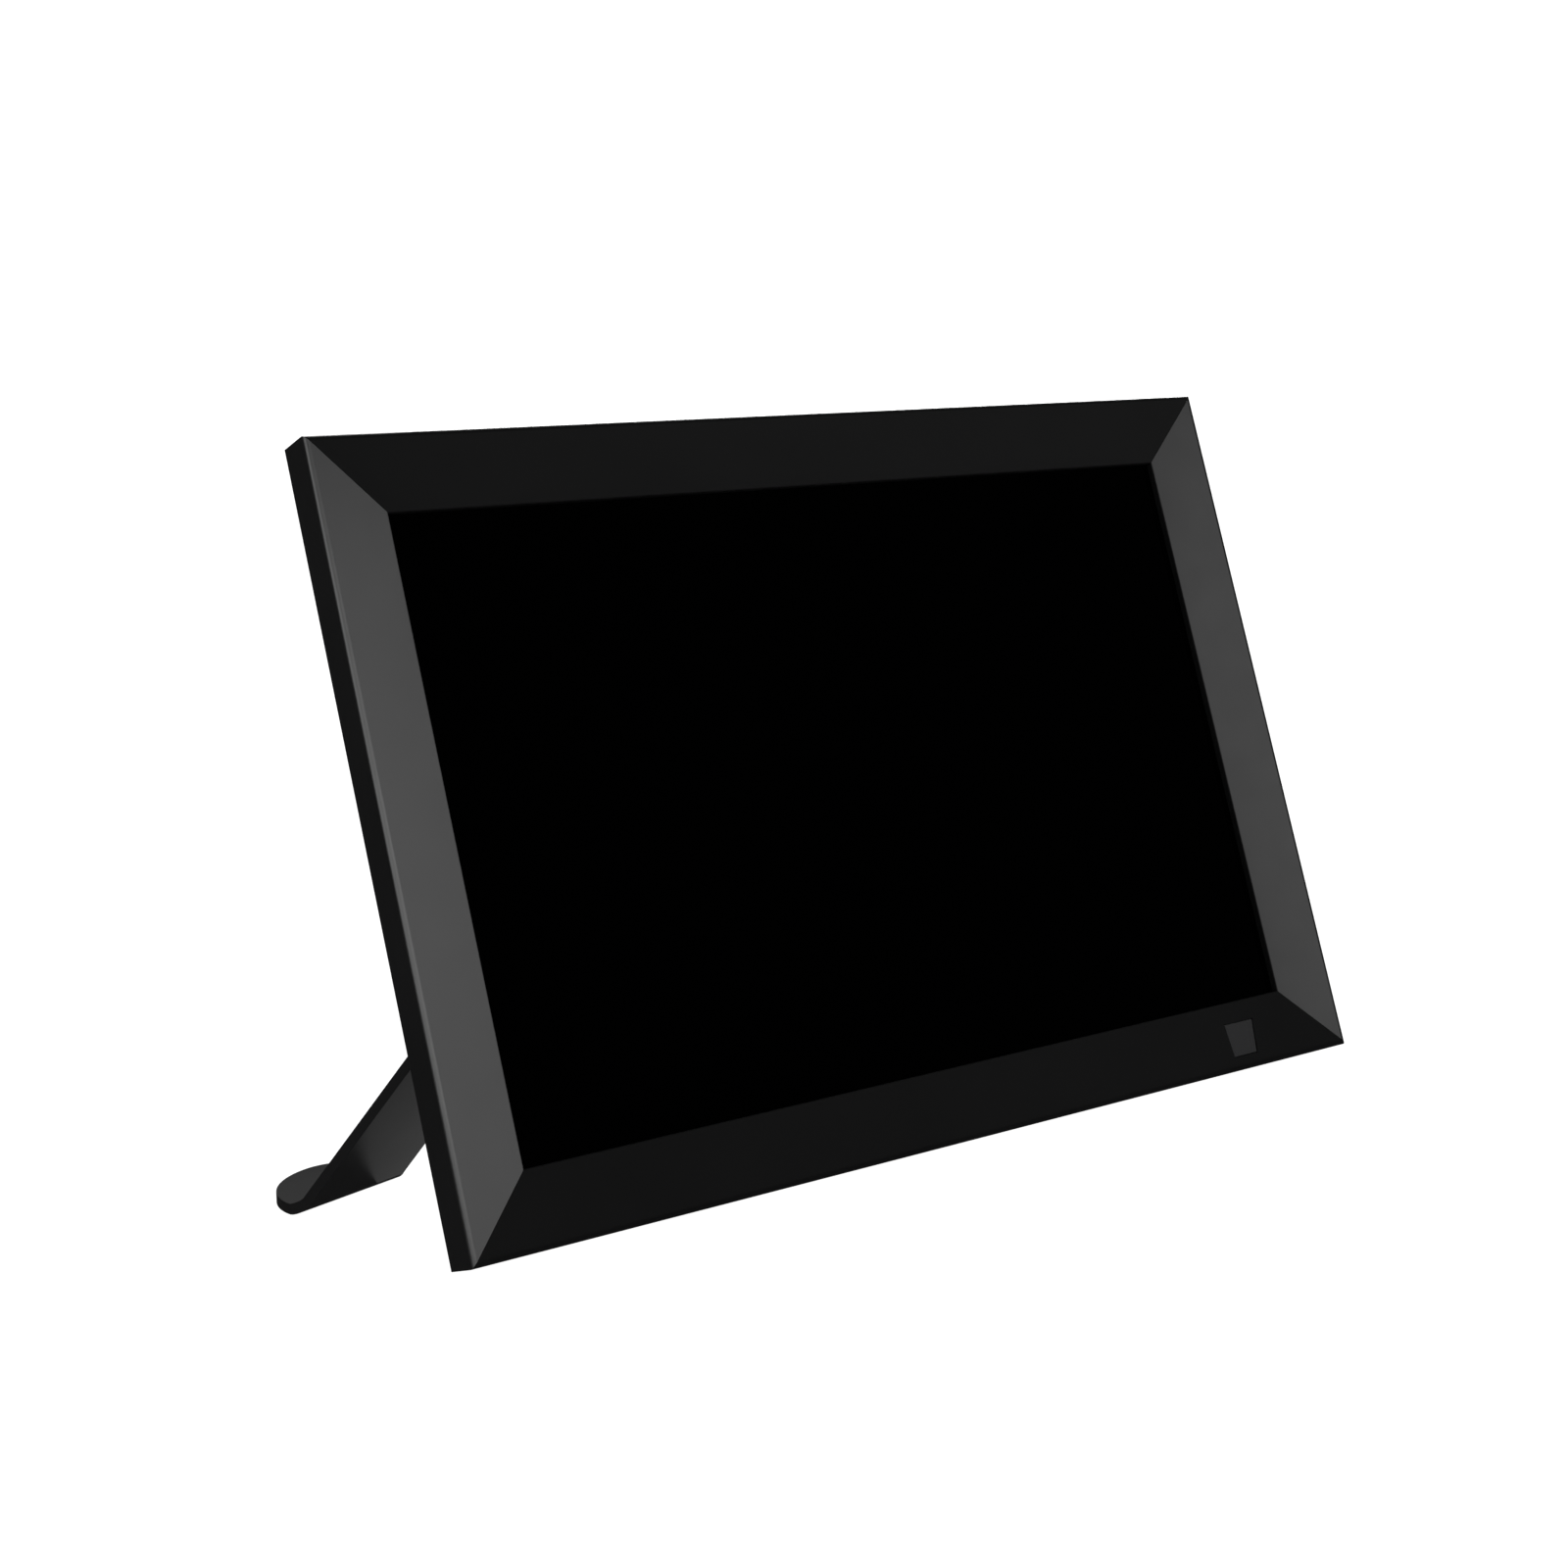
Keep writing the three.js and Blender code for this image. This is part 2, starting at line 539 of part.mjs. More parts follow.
// The button's flange sits behind the hump's back wall, and its stem stops short of the switch.
function makeButton() {
  const { x, z } = BUTTON;
  const inner = HUMP_BACK - COVER_WALL - GAP;
  return join(cylinderY(1.5, 10.4, inner, x, z, 12), cylinderY(4.8, inner - 0.8, inner, x, z, 20),
    cylinderY(BUTTON.radius, inner - 0.1, HUMP_BACK + 1, x, z, 20));
}

piece('power_button', makeButton(), 'legPlastic');

// ---- Rubber feet behind the lower edge, cut flat along the table ----

function makeRestFoot(x) {
  const table = (y) => y * Math.tan(TILT) - LIFT / Math.cos(TILT);
  const back = 7;
  return prismX([[GAP, table(GAP)], [back, table(back)], [back, 9], [GAP, 9]], x - 15, x + 15);
}

piece('rest_foot_left', makeRestFoot(-75), 'rubber');
piece('rest_foot_right', makeRestFoot(75), 'rubber');

// ---- Legs ----

// The hinge frame has X along the pin, Z up the folded leg and Y away from the cover.
const hinges = [-1, 1].map(side => {
  const hinge = new THREE.Group();
  hinge.position.set(-side * HINGE_START.x, HINGE_START.y, HINGE_START.z);
  hinge.rotation.set(LEG_OPENING, side * HINGE_CLIMB, 0, 'YXZ');
  body.add(hinge);
  return hinge;
});
const leftHinge = hinges[0];
body.position.z = LIFT;
frame.updateMatrixWorld(true);

// Where the open left leg meets the table, in its hinge frame.
const UP = new THREE.Vector3(0, 0, 1).transformDirection(leftHinge.matrixWorld.clone().invert());
const LEAF_NORMAL = new THREE.Vector3(0, 1, 0);
const HEEL = new THREE.Vector3().crossVectors(LEAF_NORMAL, UP).normalize();
const LIP = new THREE.Vector3().crossVectors(UP, HEEL);
const LEAF_UP = new THREE.Vector3().crossVectors(HEEL, LEAF_NORMAL);
const LEG_SLOPE = Math.asin(LEAF_UP.dot(UP));
const LEG_AXIS = new THREE.Vector3(-Math.sin(LEG_SPLAY), 0, -Math.cos(LEG_SPLAY));
const HINGE_CENTRE = new THREE.Vector3((BARREL_ENDS[0] + BARREL_ENDS[1]) / 2, 0, 0);

function heightOf(point) {
  return leftHinge.localToWorld(point.clone()).z;
}

function findHeel() {
  const wanted = LEG_PAD_PROUD + LEG_THICKNESS / 2;
  const start = heightOf(HINGE_CENTRE);
  const fall = start - heightOf(HINGE_CENTRE.clone().add(LEG_AXIS));
  return HINGE_CENTRE.clone().addScaledVector(LEG_AXIS, (start - wanted) / fall);
}

const HEEL_POINT = findHeel();
const FOOT_FRAME = new THREE.Matrix4().makeBasis(HEEL, LIP, UP).setPosition(HEEL_POINT);
const BEND_REACH = LEG_BEND_RADIUS * Math.tan(LEG_SLOPE / 2);

function makeLeaf() {
  const overlap = 0.05;
  const low = HEEL_POINT.clone().addScaledVector(LEAF_UP, BEND_REACH - overlap);
  const lowLeft = low.clone().addScaledVector(HEEL, -LEG_WIDTH / 2);
  const lowRight = low.clone().addScaledVector(HEEL, LEG_WIDTH / 2);
  const atShoulder = (point) =>
    point.clone().addScaledVector(LEG_AXIS, (point.z + SHOULDER) / Math.cos(LEG_SPLAY));
  const [left, right] = [atShoulder(lowLeft), atShoulder(lowRight)];
  const outline = [[BARREL_ENDS[0], -SHOULDER], [BARREL_ENDS[0], SHOULDER], [BARREL_ENDS[1], SHOULDER],
    [BARREL_ENDS[1], -SHOULDER], [right.x, right.z], [lowRight.x, lowRight.z],
    [lowLeft.x, lowLeft.z], [left.x, left.z]];
  return prismY(outline, -LEG_THICKNESS / 2, LEG_THICKNESS / 2);
}

// In the foot frame X runs along the heel, Y out along the lip and Z up from the table.
function makeBend() {
  const half = LEG_THICKNESS / 2;
  const halfWidth = LEG_WIDTH / 2 - 0.02;
  const down = -Math.PI / 2;
  const steps = 6;
  const outer = arc(BEND_REACH, LEG_BEND_RADIUS, LEG_BEND_RADIUS + half, down - LEG_SLOPE, down, steps);
  const inner = arc(BEND_REACH, LEG_BEND_RADIUS, LEG_BEND_RADIUS - half, down, down - LEG_SLOPE, steps);
  return prismX([...outer, ...inner], -halfWidth, halfWidth).applyMatrix4(FOOT_FRAME);
}

// The lip is TOE_FLARE wider than the leaf at its outboard end.
function makeLip() {
  const half = LEG_WIDTH / 2;
  const start = BEND_REACH - 0.05;
  const round = Array.from({ length: 17 }, (_, i) => {
    const angle = Math.PI * i / 16;
    const reach = angle > Math.PI / 2 ? half + TOE_FLARE : half;
    return new THREE.Vector2(reach * Math.cos(angle), start + LIP_LENGTH * Math.sin(angle));
  });
  return new THREE.ExtrudeGeometry(new THREE.Shape(round), { depth: LEG_THICKNESS, bevelEnabled: false })
    .translate(0, 0, -LEG_THICKNESS / 2)
    .applyMatrix4(FOOT_FRAME);
}

const PAD = { radius: 5.6, out: BEND_REACH + 6.4, top: 1.1 };
const TABLE = -LEG_THICKNESS / 2 - LEG_PAD_PROUD;

function padDisc(radius, bottom, top) {
  return new THREE.CylinderGeometry(radius, radius, top - bottom, 24)
    .rotateX(Math.PI / 2)
    .translate(0, PAD.out, (top + bottom) / 2)
    .applyMatrix4(FOOT_FRAME);
}

function makeLeg() {
  const barrel = cylinderX(BARREL_RADIUS, ...BARREL_ENDS, 0, 0, 20);
  const bore = cylinderX(BORE_RADIUS, BARREL_ENDS[0] - 1, BARREL_ENDS[1] + 1, 0, 0, 16);
  const padSeat = padDisc(PAD.radius + GAP, TABLE - 1, TABLE + PAD.top + GAP);
  return cut(join(makeLeaf(), makeBend(), makeLip(), barrel), bore, padSeat);
}

const legParts = {
  leg: [makeLeg(), 'legPlastic'],
  hinge_pin: [cylinderX(PIN_RADIUS, EAR_ENDS[0][0] + GAP, EAR_ENDS[1][1] - GAP, 0, 0, 12), 'steel'],
  leg_pad: [padDisc(PAD.radius, TABLE, TABLE + PAD.top), 'rubber'],
};
for (const [name, [geometry, look]] of Object.entries(legParts)) {
  piece(`${name}_left`, geometry, look, hinges[0]);
  piece(`${name}_right`, mirrored(geometry), look, hinges[1]);
}

// Puts the origin on the table under the middle of the object's box.
const bounds = new THREE.Box3().setFromObject(frame, true);
body.position.y -= (bounds.min.y + bounds.max.y) / 2;

export default frame;
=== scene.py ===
import json
import math

import bmesh
import bpy
from mathutils import Matrix, Vector


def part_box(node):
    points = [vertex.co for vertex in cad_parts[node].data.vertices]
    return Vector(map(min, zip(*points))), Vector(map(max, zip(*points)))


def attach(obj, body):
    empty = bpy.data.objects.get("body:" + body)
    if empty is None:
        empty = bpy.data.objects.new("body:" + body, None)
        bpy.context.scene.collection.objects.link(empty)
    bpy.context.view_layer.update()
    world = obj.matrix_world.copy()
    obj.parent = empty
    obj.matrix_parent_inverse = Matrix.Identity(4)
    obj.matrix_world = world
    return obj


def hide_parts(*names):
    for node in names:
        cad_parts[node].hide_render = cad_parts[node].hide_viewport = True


# Looks of the ten-inch digital photo frame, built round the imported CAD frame.
#
# Shapes are laid out in millimetres in the body's own frame: X right, Y from the screen to the back, Z up
# the back, y = 0 on the rim's back plane and z = 0 on its lower edge. Each piece is then put into the row
# frame.

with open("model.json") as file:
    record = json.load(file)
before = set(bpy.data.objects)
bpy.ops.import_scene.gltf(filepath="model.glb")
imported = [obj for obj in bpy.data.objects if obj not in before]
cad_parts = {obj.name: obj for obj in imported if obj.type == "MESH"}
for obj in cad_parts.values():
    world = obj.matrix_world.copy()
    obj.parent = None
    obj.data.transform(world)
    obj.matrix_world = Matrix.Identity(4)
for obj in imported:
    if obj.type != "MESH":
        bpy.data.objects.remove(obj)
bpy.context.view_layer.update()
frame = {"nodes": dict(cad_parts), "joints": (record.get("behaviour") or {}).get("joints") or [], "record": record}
NODES = frame["nodes"]
JOINTS = {joint["name"]: joint for joint in frame["joints"]}

MM = 0.001

# Sizes in millimetres, the same as the CAD part's.
WIDTH = 258
HEIGHT = 177
TILT = math.radians(21.63)
MIDDLE = HEIGHT / 2
BEVEL = 17.3
RECESS = 2.9
RIM_DEPTH = 10.6
RIM_WALL = 2
PLATE = 1.7
EDGE_RADIUS = 1.2
OPENING_HALF = WIDTH / 2 - BEVEL
SLOPE = math.atan2(RECESS, BEVEL)
SCREW_ROWS = (6.4, HEIGHT - 6.4)
SCREW_PLACES = [(x, z) for z in SCREW_ROWS for x in (-123.1, 0, 123.1)]
WINDOW = [(89.8, 3.6), (97.7, 3.6), (99.9, 12), (90.1, 12)]
HUMP_BACK = 15
STEP_BACK = 5
HUMP_HALF = 80
KEYHOLES = (-50, 50)
KEYHOLE_LOW = 112
KEYHOLE_HIGH = 121
KEYHOLE_HEAD = 4.2
KEYHOLE_NECK = 4.6
SLOT_WIDTH = 2
VENTS = range(-24, 25, 6)
VENT_MIDDLE = 72
VENT_LENGTH = 26
GRILLE = range(-12, 13, 6)
GRILLE_MIDDLE = 43
GRILLE_LENGTH = 16
SPEAKERS = (-59, 59)
DC = (9.6, 131.5)
USB = (9.5, 110)
CARD = (8.2, 82)
BUTTON = (34, 132)
BUTTON_HOLE = 4
SOCKET_FACE = 77.7
BARREL = (5.9, 32.7)
BARREL_RADIUS = 3
EARS = ((2.4, 5.6), (33, 36.2))
BORE = 1.35
HINGE_BACK = 9.5
LEG_WIDTH = 27.5
LEG_HALF = 1.25
LEG_BEND = 3.5
LIP_LENGTH = 14
TOE_FLARE = 2.4
PAD_PROUD = 0.3
PAD_RADIUS = 5.6
PAD_OUT = 6.4
PAD_TOP = 1.1
SHOULDER = 4
SPLAY = math.radians(33.6)

# The rim is one moulding. Its four rails are drawn this far apart, so that each can have its own light.
MITRE_GAP = 0.06

# Cutters start this far inside the hump's back face, and end this far outside a face.
THROUGH_HUMP = 3.2
PAST_FACE = 0.2

rim_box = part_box("front_bezel")
ORIGIN = Vector((0, rim_box[1].y - HEIGHT * MM * math.sin(TILT), rim_box[0].z))
BODY = Matrix.Translation(ORIGIN) @ Matrix.Rotation(-TILT, 4, "X") @ Matrix.Scale(MM, 4)


# ---- Camera, stage and light ----

def aim(thing, place, target):
    thing.location = place
    thing.rotation_euler = (Vector(target) - Vector(place)).to_track_quat("-Z", "Y").to_euler()


def make_camera():
    """A long lens at the photograph's viewing angle. Angles are in degrees and the lens in millimetres."""
    lens, tilt, heading = 58.15, 78.115, -35.585
    camera = bpy.data.objects.new("camera", bpy.data.cameras.new("camera"))
    camera.data.lens = lens
    camera.data.clip_start = 0.01
    camera.location = (-0.35851, -0.46879, 0.20655)
    camera.rotation_euler = (math.radians(tilt), 0, math.radians(heading))
    bpy.context.collection.objects.link(camera)
    bpy.context.scene.camera = camera


def make_stage():
    """A pale floor that curves up into a closed round tent."""
    floor_radius, wall_radius, curve, wall_top = 1.1, 1.6, 0.5, 1.3
    steps, sides = 12, 96
    profile = [(floor_radius, 0)]
    for step in range(1, steps + 1):
        angle = math.pi / 2 * step / steps
        profile.append((floor_radius + curve * math.sin(angle), curve * (1 - math.cos(angle))))
    for step in range(1, steps):
        angle = math.pi / 2 * step / steps
        profile.append((wall_radius * math.cos(angle), wall_top + wall_radius * math.sin(angle)))
    mesh = bmesh.new()
    rings = []
    for radius, height in profile:
        rings.append([mesh.verts.new((radius * math.cos(2 * math.pi * i / sides),
                                      radius * math.sin(2 * math.pi * i / sides), height))
                      for i in range(sides)])
    mesh.faces.new(rings[0][::-1])
    for low, high in zip(rings, rings[1:]):
        for i in range(sides):
            j = (i + 1) % sides
            mesh.faces.new((low[i], low[j], high[j], high[i]))
    top = mesh.verts.new((0, 0, wall_top + wall_radius))
    for i in range(sides):
        mesh.faces.new((rings[-1][i], rings[-1][(i + 1) % sides], top))
    data = bpy.data.meshes.new("studio_tent")
    mesh.to_mesh(data)
    mesh.free()
    data.shade_smooth()
    tent = bpy.data.objects.new("studio_tent", data)
    bpy.context.collection.objects.link(tent)
    material = bpy.data.materials.new("studio_tent")
    material.use_nodes = True
    shader = material.node_tree.nodes["Principled BSDF"]
    shader.inputs["Base Color"].default_value = (0.15, 0.15, 0.15, 1)
    shader.inputs["Roughness"].default_value = 1
    shader.inputs["Specular IOR Level"].default_value = 0
    shader.inputs["Emission Color"].default_value = (1, 1, 1, 1)
    shader.inputs["Emission Strength"].default_value = 1
    data.materials.append(material)
    tent.visible_glossy = False


def make_world():
    """What gloss sees beyond the tent: a dim studio."""
    world = bpy.data.worlds.new("studio")
    world.use_nodes = True
    world.node_tree.nodes["Background"].inputs["Color"].default_value = (0.02, 0.02, 0.02, 1)
    bpy.context.scene.world = world
    bpy.context.scene.view_settings.view_transform = "Standard"


def softbox(name, place, target, size, watts, lit=()):
    """An area light that the camera doesn't see. With lit, it lights only those pieces."""
    light = bpy.data.lights.new(name, "AREA")
    light.shape = "RECTANGLE"
    light.size, light.size_y = size
    light.energy = watts
    lamp = bpy.data.objects.new(name, light)
    aim(lamp, place, target)
    lamp.visible_camera = False
    bpy.context.collection.objects.link(lamp)
    if lit:
        group = bpy.data.collections.new(name + "_lights")
        for piece in lit:
            group.objects.link(piece)
        lamp.light_linking.receiver_collection = group


# ---- Materials ----

def new_material(name, **constants):
    """A material, its node tree and its shader. Constants name shader sockets, with _ for a space."""
    material = bpy.data.materials.new(name)
    material.use_nodes = True
    shader = material.node_tree.nodes["Principled BSDF"]
    for socket, value in constants.items():
        shader.inputs[socket.replace("_", " ")].default_value = value
    return material, material.node_tree, shader


def noise(tree, scale, detail=2, stretch=(1, 1, 1)):
    """Noise in the object's own space; scale is in features per metre."""
    place = tree.nodes.new("ShaderNodeTexCoord")
    mapping = tree.nodes.new("ShaderNodeMapping")
    mapping.inputs["Scale"].default_value = stretch
    texture = tree.nodes.new("ShaderNodeTexNoise")
    texture.inputs["Scale"].default_value = scale
    texture.inputs["Detail"].default_value = detail
    tree.links.new(place.outputs["Object"], mapping.inputs["Vector"])
    tree.links.new(mapping.outputs["Vector"], texture.inputs["Vector"])
    return texture.outputs["Fac"]


def colour_between(tree, shader, factor, dark, light):
    """Colours the shader from dark to light over the middle of the factor's range."""
    ramp = tree.nodes.new("ShaderNodeValToRGB")
    ramp.color_ramp.elements[0].position = 0.3
    ramp.color_ramp.elements[0].color = (*dark, 1)
    ramp.color_ramp.elements[1].position = 0.7
    ramp.color_ramp.elements[1].color = (*light, 1)
    tree.links.new(factor, ramp.inputs["Fac"])
    tree.links.new(ramp.outputs["Color"], shader.inputs["Base Color"])


def roughness_between(tree, shader, factor, low, high):
    spread = tree.nodes.new("ShaderNodeMapRange")
    spread.inputs["To Min"].default_value = low
    spread.inputs["To Max"].default_value = high
    tree.links.new(factor, spread.inputs["Value"])
    tree.links.new(spread.outputs["Result"], shader.inputs["Roughness"])


def bump(tree, shader, height, strength, depth_mm):
    node = tree.nodes.new("ShaderNodeBump")
    node.inputs["Strength"].default_value = strength
    node.inputs["Distance"].default_value = depth_mm * MM
    tree.links.new(height, node.inputs["Height"])
    tree.links.new(node.outputs["Normal"], shader.inputs["Normal"])


def moulded(name, dark, light, rough, grain_mm, depth_mm, cloud_mm=30, **constants):
    """Moulded plastic or rubber: a fine tool texture, and slow changes of tone and gloss."""
    material, tree, shader = new_material(name, **constants)
    cloud = noise(tree, 1000 / cloud_mm, 3)
    colour_between(tree, shader, cloud, dark, light)
    roughness_between(tree, shader, noise(tree, 1000 / (cloud_mm / 3), 4), *rough)
    bump(tree, shader, noise(tree, 1000 / grain_mm, 3), 0.6, depth_mm)
    return material


def brushed(name, dark, light, rough, along=(1, 1, 40), **constants):
    """Metal with fine drawn lines."""
    material, tree, shader = new_material(name, Metallic=1.0, **constants)
    lines = noise(tree, 400, 3, along)
    colour_between(tree, shader, lines, dark, light)
    roughness_between(tree, shader, lines, *rough)
    bump(tree, shader, lines, 0.3, 0.01)
    return material


def circuit_board():
    """Solder mask over a grid of copper tracks."""
    material, tree, shader = new_material("circuit_board", Metallic=0.0)
    place = tree.nodes.new("ShaderNodeTexCoord")
    tracks = tree.nodes.new("ShaderNodeTexBrick")
    tracks.inputs["Scale"].default_value = 260
    tracks.inputs["Mortar Size"].default_value = 0.035
    tracks.inputs["Color1"].default_value = (0.008, 0.075, 0.03, 1)
    tracks.inputs["Color2"].default_value = (0.01, 0.09, 0.036, 1)
    tracks.inputs["Mortar"].default_value = (0.022, 0.15, 0.06, 1)
    turn = tree.nodes.new("ShaderNodeMapping")
    turn.inputs["Rotation"].default_value = (math.pi / 2, 0, 0)
    tree.links.new(place.outputs["Object"], turn.inputs["Vector"])
    tree.links.new(turn.outputs["Vector"], tracks.inputs["Vector"])
    tree.links.new(tracks.outputs["Color"], shader.inputs["Base Color"])
    roughness_between(tree, shader, noise(tree, 300, 3), 0.35, 0.5)
    bump(tree, shader, tracks.outputs["Fac"], 0.5, 0.03)
    return material


def flat_cable():
    """Amber film over parallel copper tracks."""
    material, tree, shader = new_material("polyimide", Roughness=0.3)
    place = tree.nodes.new("ShaderNodeTexCoord")
    tracks = tree.nodes.new("ShaderNodeTexWave")
    tracks.inputs["Scale"].default_value = 320
    tree.links.new(place.outputs["Object"], tracks.inputs["Vector"])
    colour_between(tree, shader, tracks.outputs["Fac"], (0.3, 0.1, 0.015), (0.5, 0.2, 0.05))
    bump(tree, shader, tracks.outputs["Fac"], 0.4, 0.03)
    return material


def smoked_glass():
    """Coated cover glass over a dark display, with the faintest film of handling."""
    material, tree, shader = new_material("screen_glass", Specular_IOR_Level=0.05, IOR=1.5)
    dark, light = (0.00008, 0.00008, 0.00009), (0.00012, 0.00012, 0.00013)
    colour_between(tree, shader, noise(tree, 20, 2), dark, light)
    roughness_between(tree, shader, noise(tree, 60, 4), 0.05, 0.09)
    return material


def make_materials():
    grey = lambda value: (value, value, value * 1.03)
    return {
        "rim_plastic": moulded("rim_plastic", grey(0.0027), grey(0.0033), (0.29, 0.36), 0.35, 0.004,
                               IOR=1.5),
        "cover_plastic": moulded("cover_plastic", grey(0.0085), grey(0.0115), (0.46, 0.58), 0.45, 0.035),
        "leg_plastic": moulded("leg_plastic", grey(0.005), grey(0.006), (0.34, 0.44), 0.4, 0.008),
        "sensor_lens": moulded("sensor_lens", grey(0.018), grey(0.0205), (0.2, 0.28), 0.5, 0.003),
        "screen_glass": smoked_glass(),
        "lcd": moulded("lcd", grey(0.003), grey(0.005), (0.22, 0.3), 0.2, 0.002),
        "diffuser": moulded("diffuser", (0.74, 0.74, 0.71), (0.82, 0.82, 0.79), (0.5, 0.65), 0.3, 0.01),
        "foam": moulded("foam", grey(0.009), grey(0.02), (0.85, 1.0), 0.6, 0.25, 4),
        "steel": brushed("steel", (0.46, 0.47, 0.48), (0.56, 0.57, 0.58), (0.28, 0.42)),
        "screw_steel": brushed("screw_steel", (0.05, 0.05, 0.053), (0.085, 0.085, 0.09), (0.3, 0.42),
                               (1, 1, 1)),
        "circuit_board": circuit_board(),
        "chip": moulded("chip", grey(0.009), grey(0.013), (0.5, 0.62), 0.25, 0.02, 3),
        "dark_fitting": moulded("dark_fitting", grey(0.012), grey(0.017), (0.42, 0.55), 0.3, 0.02, 8),
        "polyimide": flat_cable(),
        "wire": moulded("wire", (0.2, 0.008, 0.008), (0.29, 0.012, 0.012), (0.4, 0.5), 0.4, 0.01, 5),
        "rubber": moulded("rubber", grey(0.0085), grey(0.0125), (0.72, 0.9), 0.5, 0.04, 6),
        "contact_gold": brushed("contact_gold", (0.75, 0.5, 0.16), (0.86, 0.6, 0.24), (0.22, 0.32)),
    }


# ---- Forms: (vertices, faces) in the body's frame, in millimetres ----

def arc(cu, cv, radius, start, end, steps):
    return [(cu + radius * math.cos(start + (end - start) * i / steps),
             cv + radius * math.sin(start + (end - start) * i / steps)) for i in range(steps + 1)]


def rounded_rect(x0, x1, z0, z1, radius, steps=8):
    centres = [(x1 - radius, z0 + radius), (x1 - radius, z1 - radius),
               (x0 + radius, z1 - radius), (x0 + radius, z0 + radius)]
    return [point for i, (x, z) in enumerate(centres)
            for point in arc(x, z, radius, (i - 1) * math.pi / 2, i * math.pi / 2, steps)]


def slot_outline(x, z, width, length, steps=8):
    reach = (length - width) / 2
    return (arc(x, z + reach, width / 2, 0, math.pi, steps)
            + arc(x, z - reach, width / 2, math.pi, 2 * math.pi, steps))


def loft(rings):
    """Joins rings of the same number of points and closes both ends."""
    count = len(rings[0])
    vertices = [point for ring in rings for point in ring]
    faces = [list(range(count)), list(range(len(vertices) - count, len(vertices)))]
    for layer in range(len(rings) - 1):
        for i in range(count):
            j = (i + 1) % count
            low, high = layer * count, (layer + 1) * count
            faces.append([low + i, low + j, high + j, high + i])
    return vertices, faces


def stack(layers):
    """A solid of (x, z) outlines at rising y."""
    return loft([[(x, y, z) for x, z in outline] for outline, y in layers])


def turned_y(profile, x, z, sides=32):
    """A solid of revolution about the Y line through (x, z), of (radius, y) steps."""
    return stack([(arc(x, z, radius, 0, 2 * math.pi * (1 - 1 / sides), sides - 1), y)
                  for radius, y in profile])


def turned_x(profile, y, z, sides=32):
    """The same about the X line through (y, z), of (radius, x) steps."""
    return loft([[(x, v, w) for v, w in arc(y, z, radius, 0, 2 * math.pi * (1 - 1 / sides), sides - 1)]
                 for radius, x in profile])


def stack_x(layers):
    """A solid of (y, z) outlines at rising x."""
    return loft([[(x, y, z) for y, z in outline] for outline, x in layers])


def block(x0, x1, y0, y1, z0, z1):
    return stack([([(x0, z0), (x1, z0), (x1, z1), (x0, z1)], y) for y in (y0, y1)])


def several(*forms):
    vertices, faces = [], []
    for points, rings in forms:
        shift = len(vertices)
        vertices.extend(points)
        faces.extend([index + shift for index in ring] for ring in rings)
    return vertices, faces


# ---- Pieces ----

def to_object(name, form):
    mesh = bmesh.new()
    points = [mesh.verts.new(point) for point in form[0]]
    for ring in form[1]:
        mesh.faces.new([points[index] for index in ring])
    bmesh.ops.recalc_face_normals(mesh, faces=mesh.faces)
    data = bpy.data.meshes.new(name)
    mesh.to_mesh(data)
    mesh.free()
    thing = bpy.data.objects.new(name, data)
    bpy.context.collection.objects.link(thing)
    return thing


def apply_modifiers(thing):
    graph = bpy.context.evaluated_depsgraph_get()
    data = bpy.data.meshes.new_from_object(thing.evaluated_get(graph))
    thing.modifiers.clear()
    old = thing.data
    thing.data = data
    bpy.data.meshes.remove(old)
    data.name = thing.name


def combine(thing, operation, *forms):
    """Joins the forms to the piece, or cuts them from it, one at a time."""
    for form in forms:
        tool = to_object("tool", form)
        modifier = thing.modifiers.new("join", "BOOLEAN")
        modifier.operation = operation
        modifier.solver = "EXACT"
        modifier.object = tool
        apply_modifiers(thing)
        bpy.data.objects.remove(tool)
    return thing


def soften(thing, width, segments=3, angle=50):
    """Rounds the piece's sharp edges."""
    modifier = thing.modifiers.new("round", "BEVEL")
    modifier.width = width
    modifier.segments = segments
    modifier.limit_method = "ANGLE"
    modifier.angle_limit = math.radians(angle)
    modifier.use_clamp_overlap = True
    return thing


def place(thing, slot, body="chassis", stands_for=(), frame_matrix=None, sharp=32, look=None):
    """Finishes a piece: puts it into the row frame, shades it, and fixes it to its body."""
    if thing.modifiers:
        apply_modifiers(thing)
    thing.data.transform(frame_matrix or BODY)
    thing.data.materials.clear()
    thing.data.materials.append(MATERIALS[look or slot])
    thing.data.shade_smooth()
    thing.data.set_sharp_from_angle(angle=math.radians(sharp))
    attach(thing, body)
    if stands_for:
        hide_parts(*stands_for)
    return thing


# ---- Rim: four mitred rails ----

def bevel_front(out):
    return RECESS - RIM_DEPTH - out * math.tan(SLOPE)


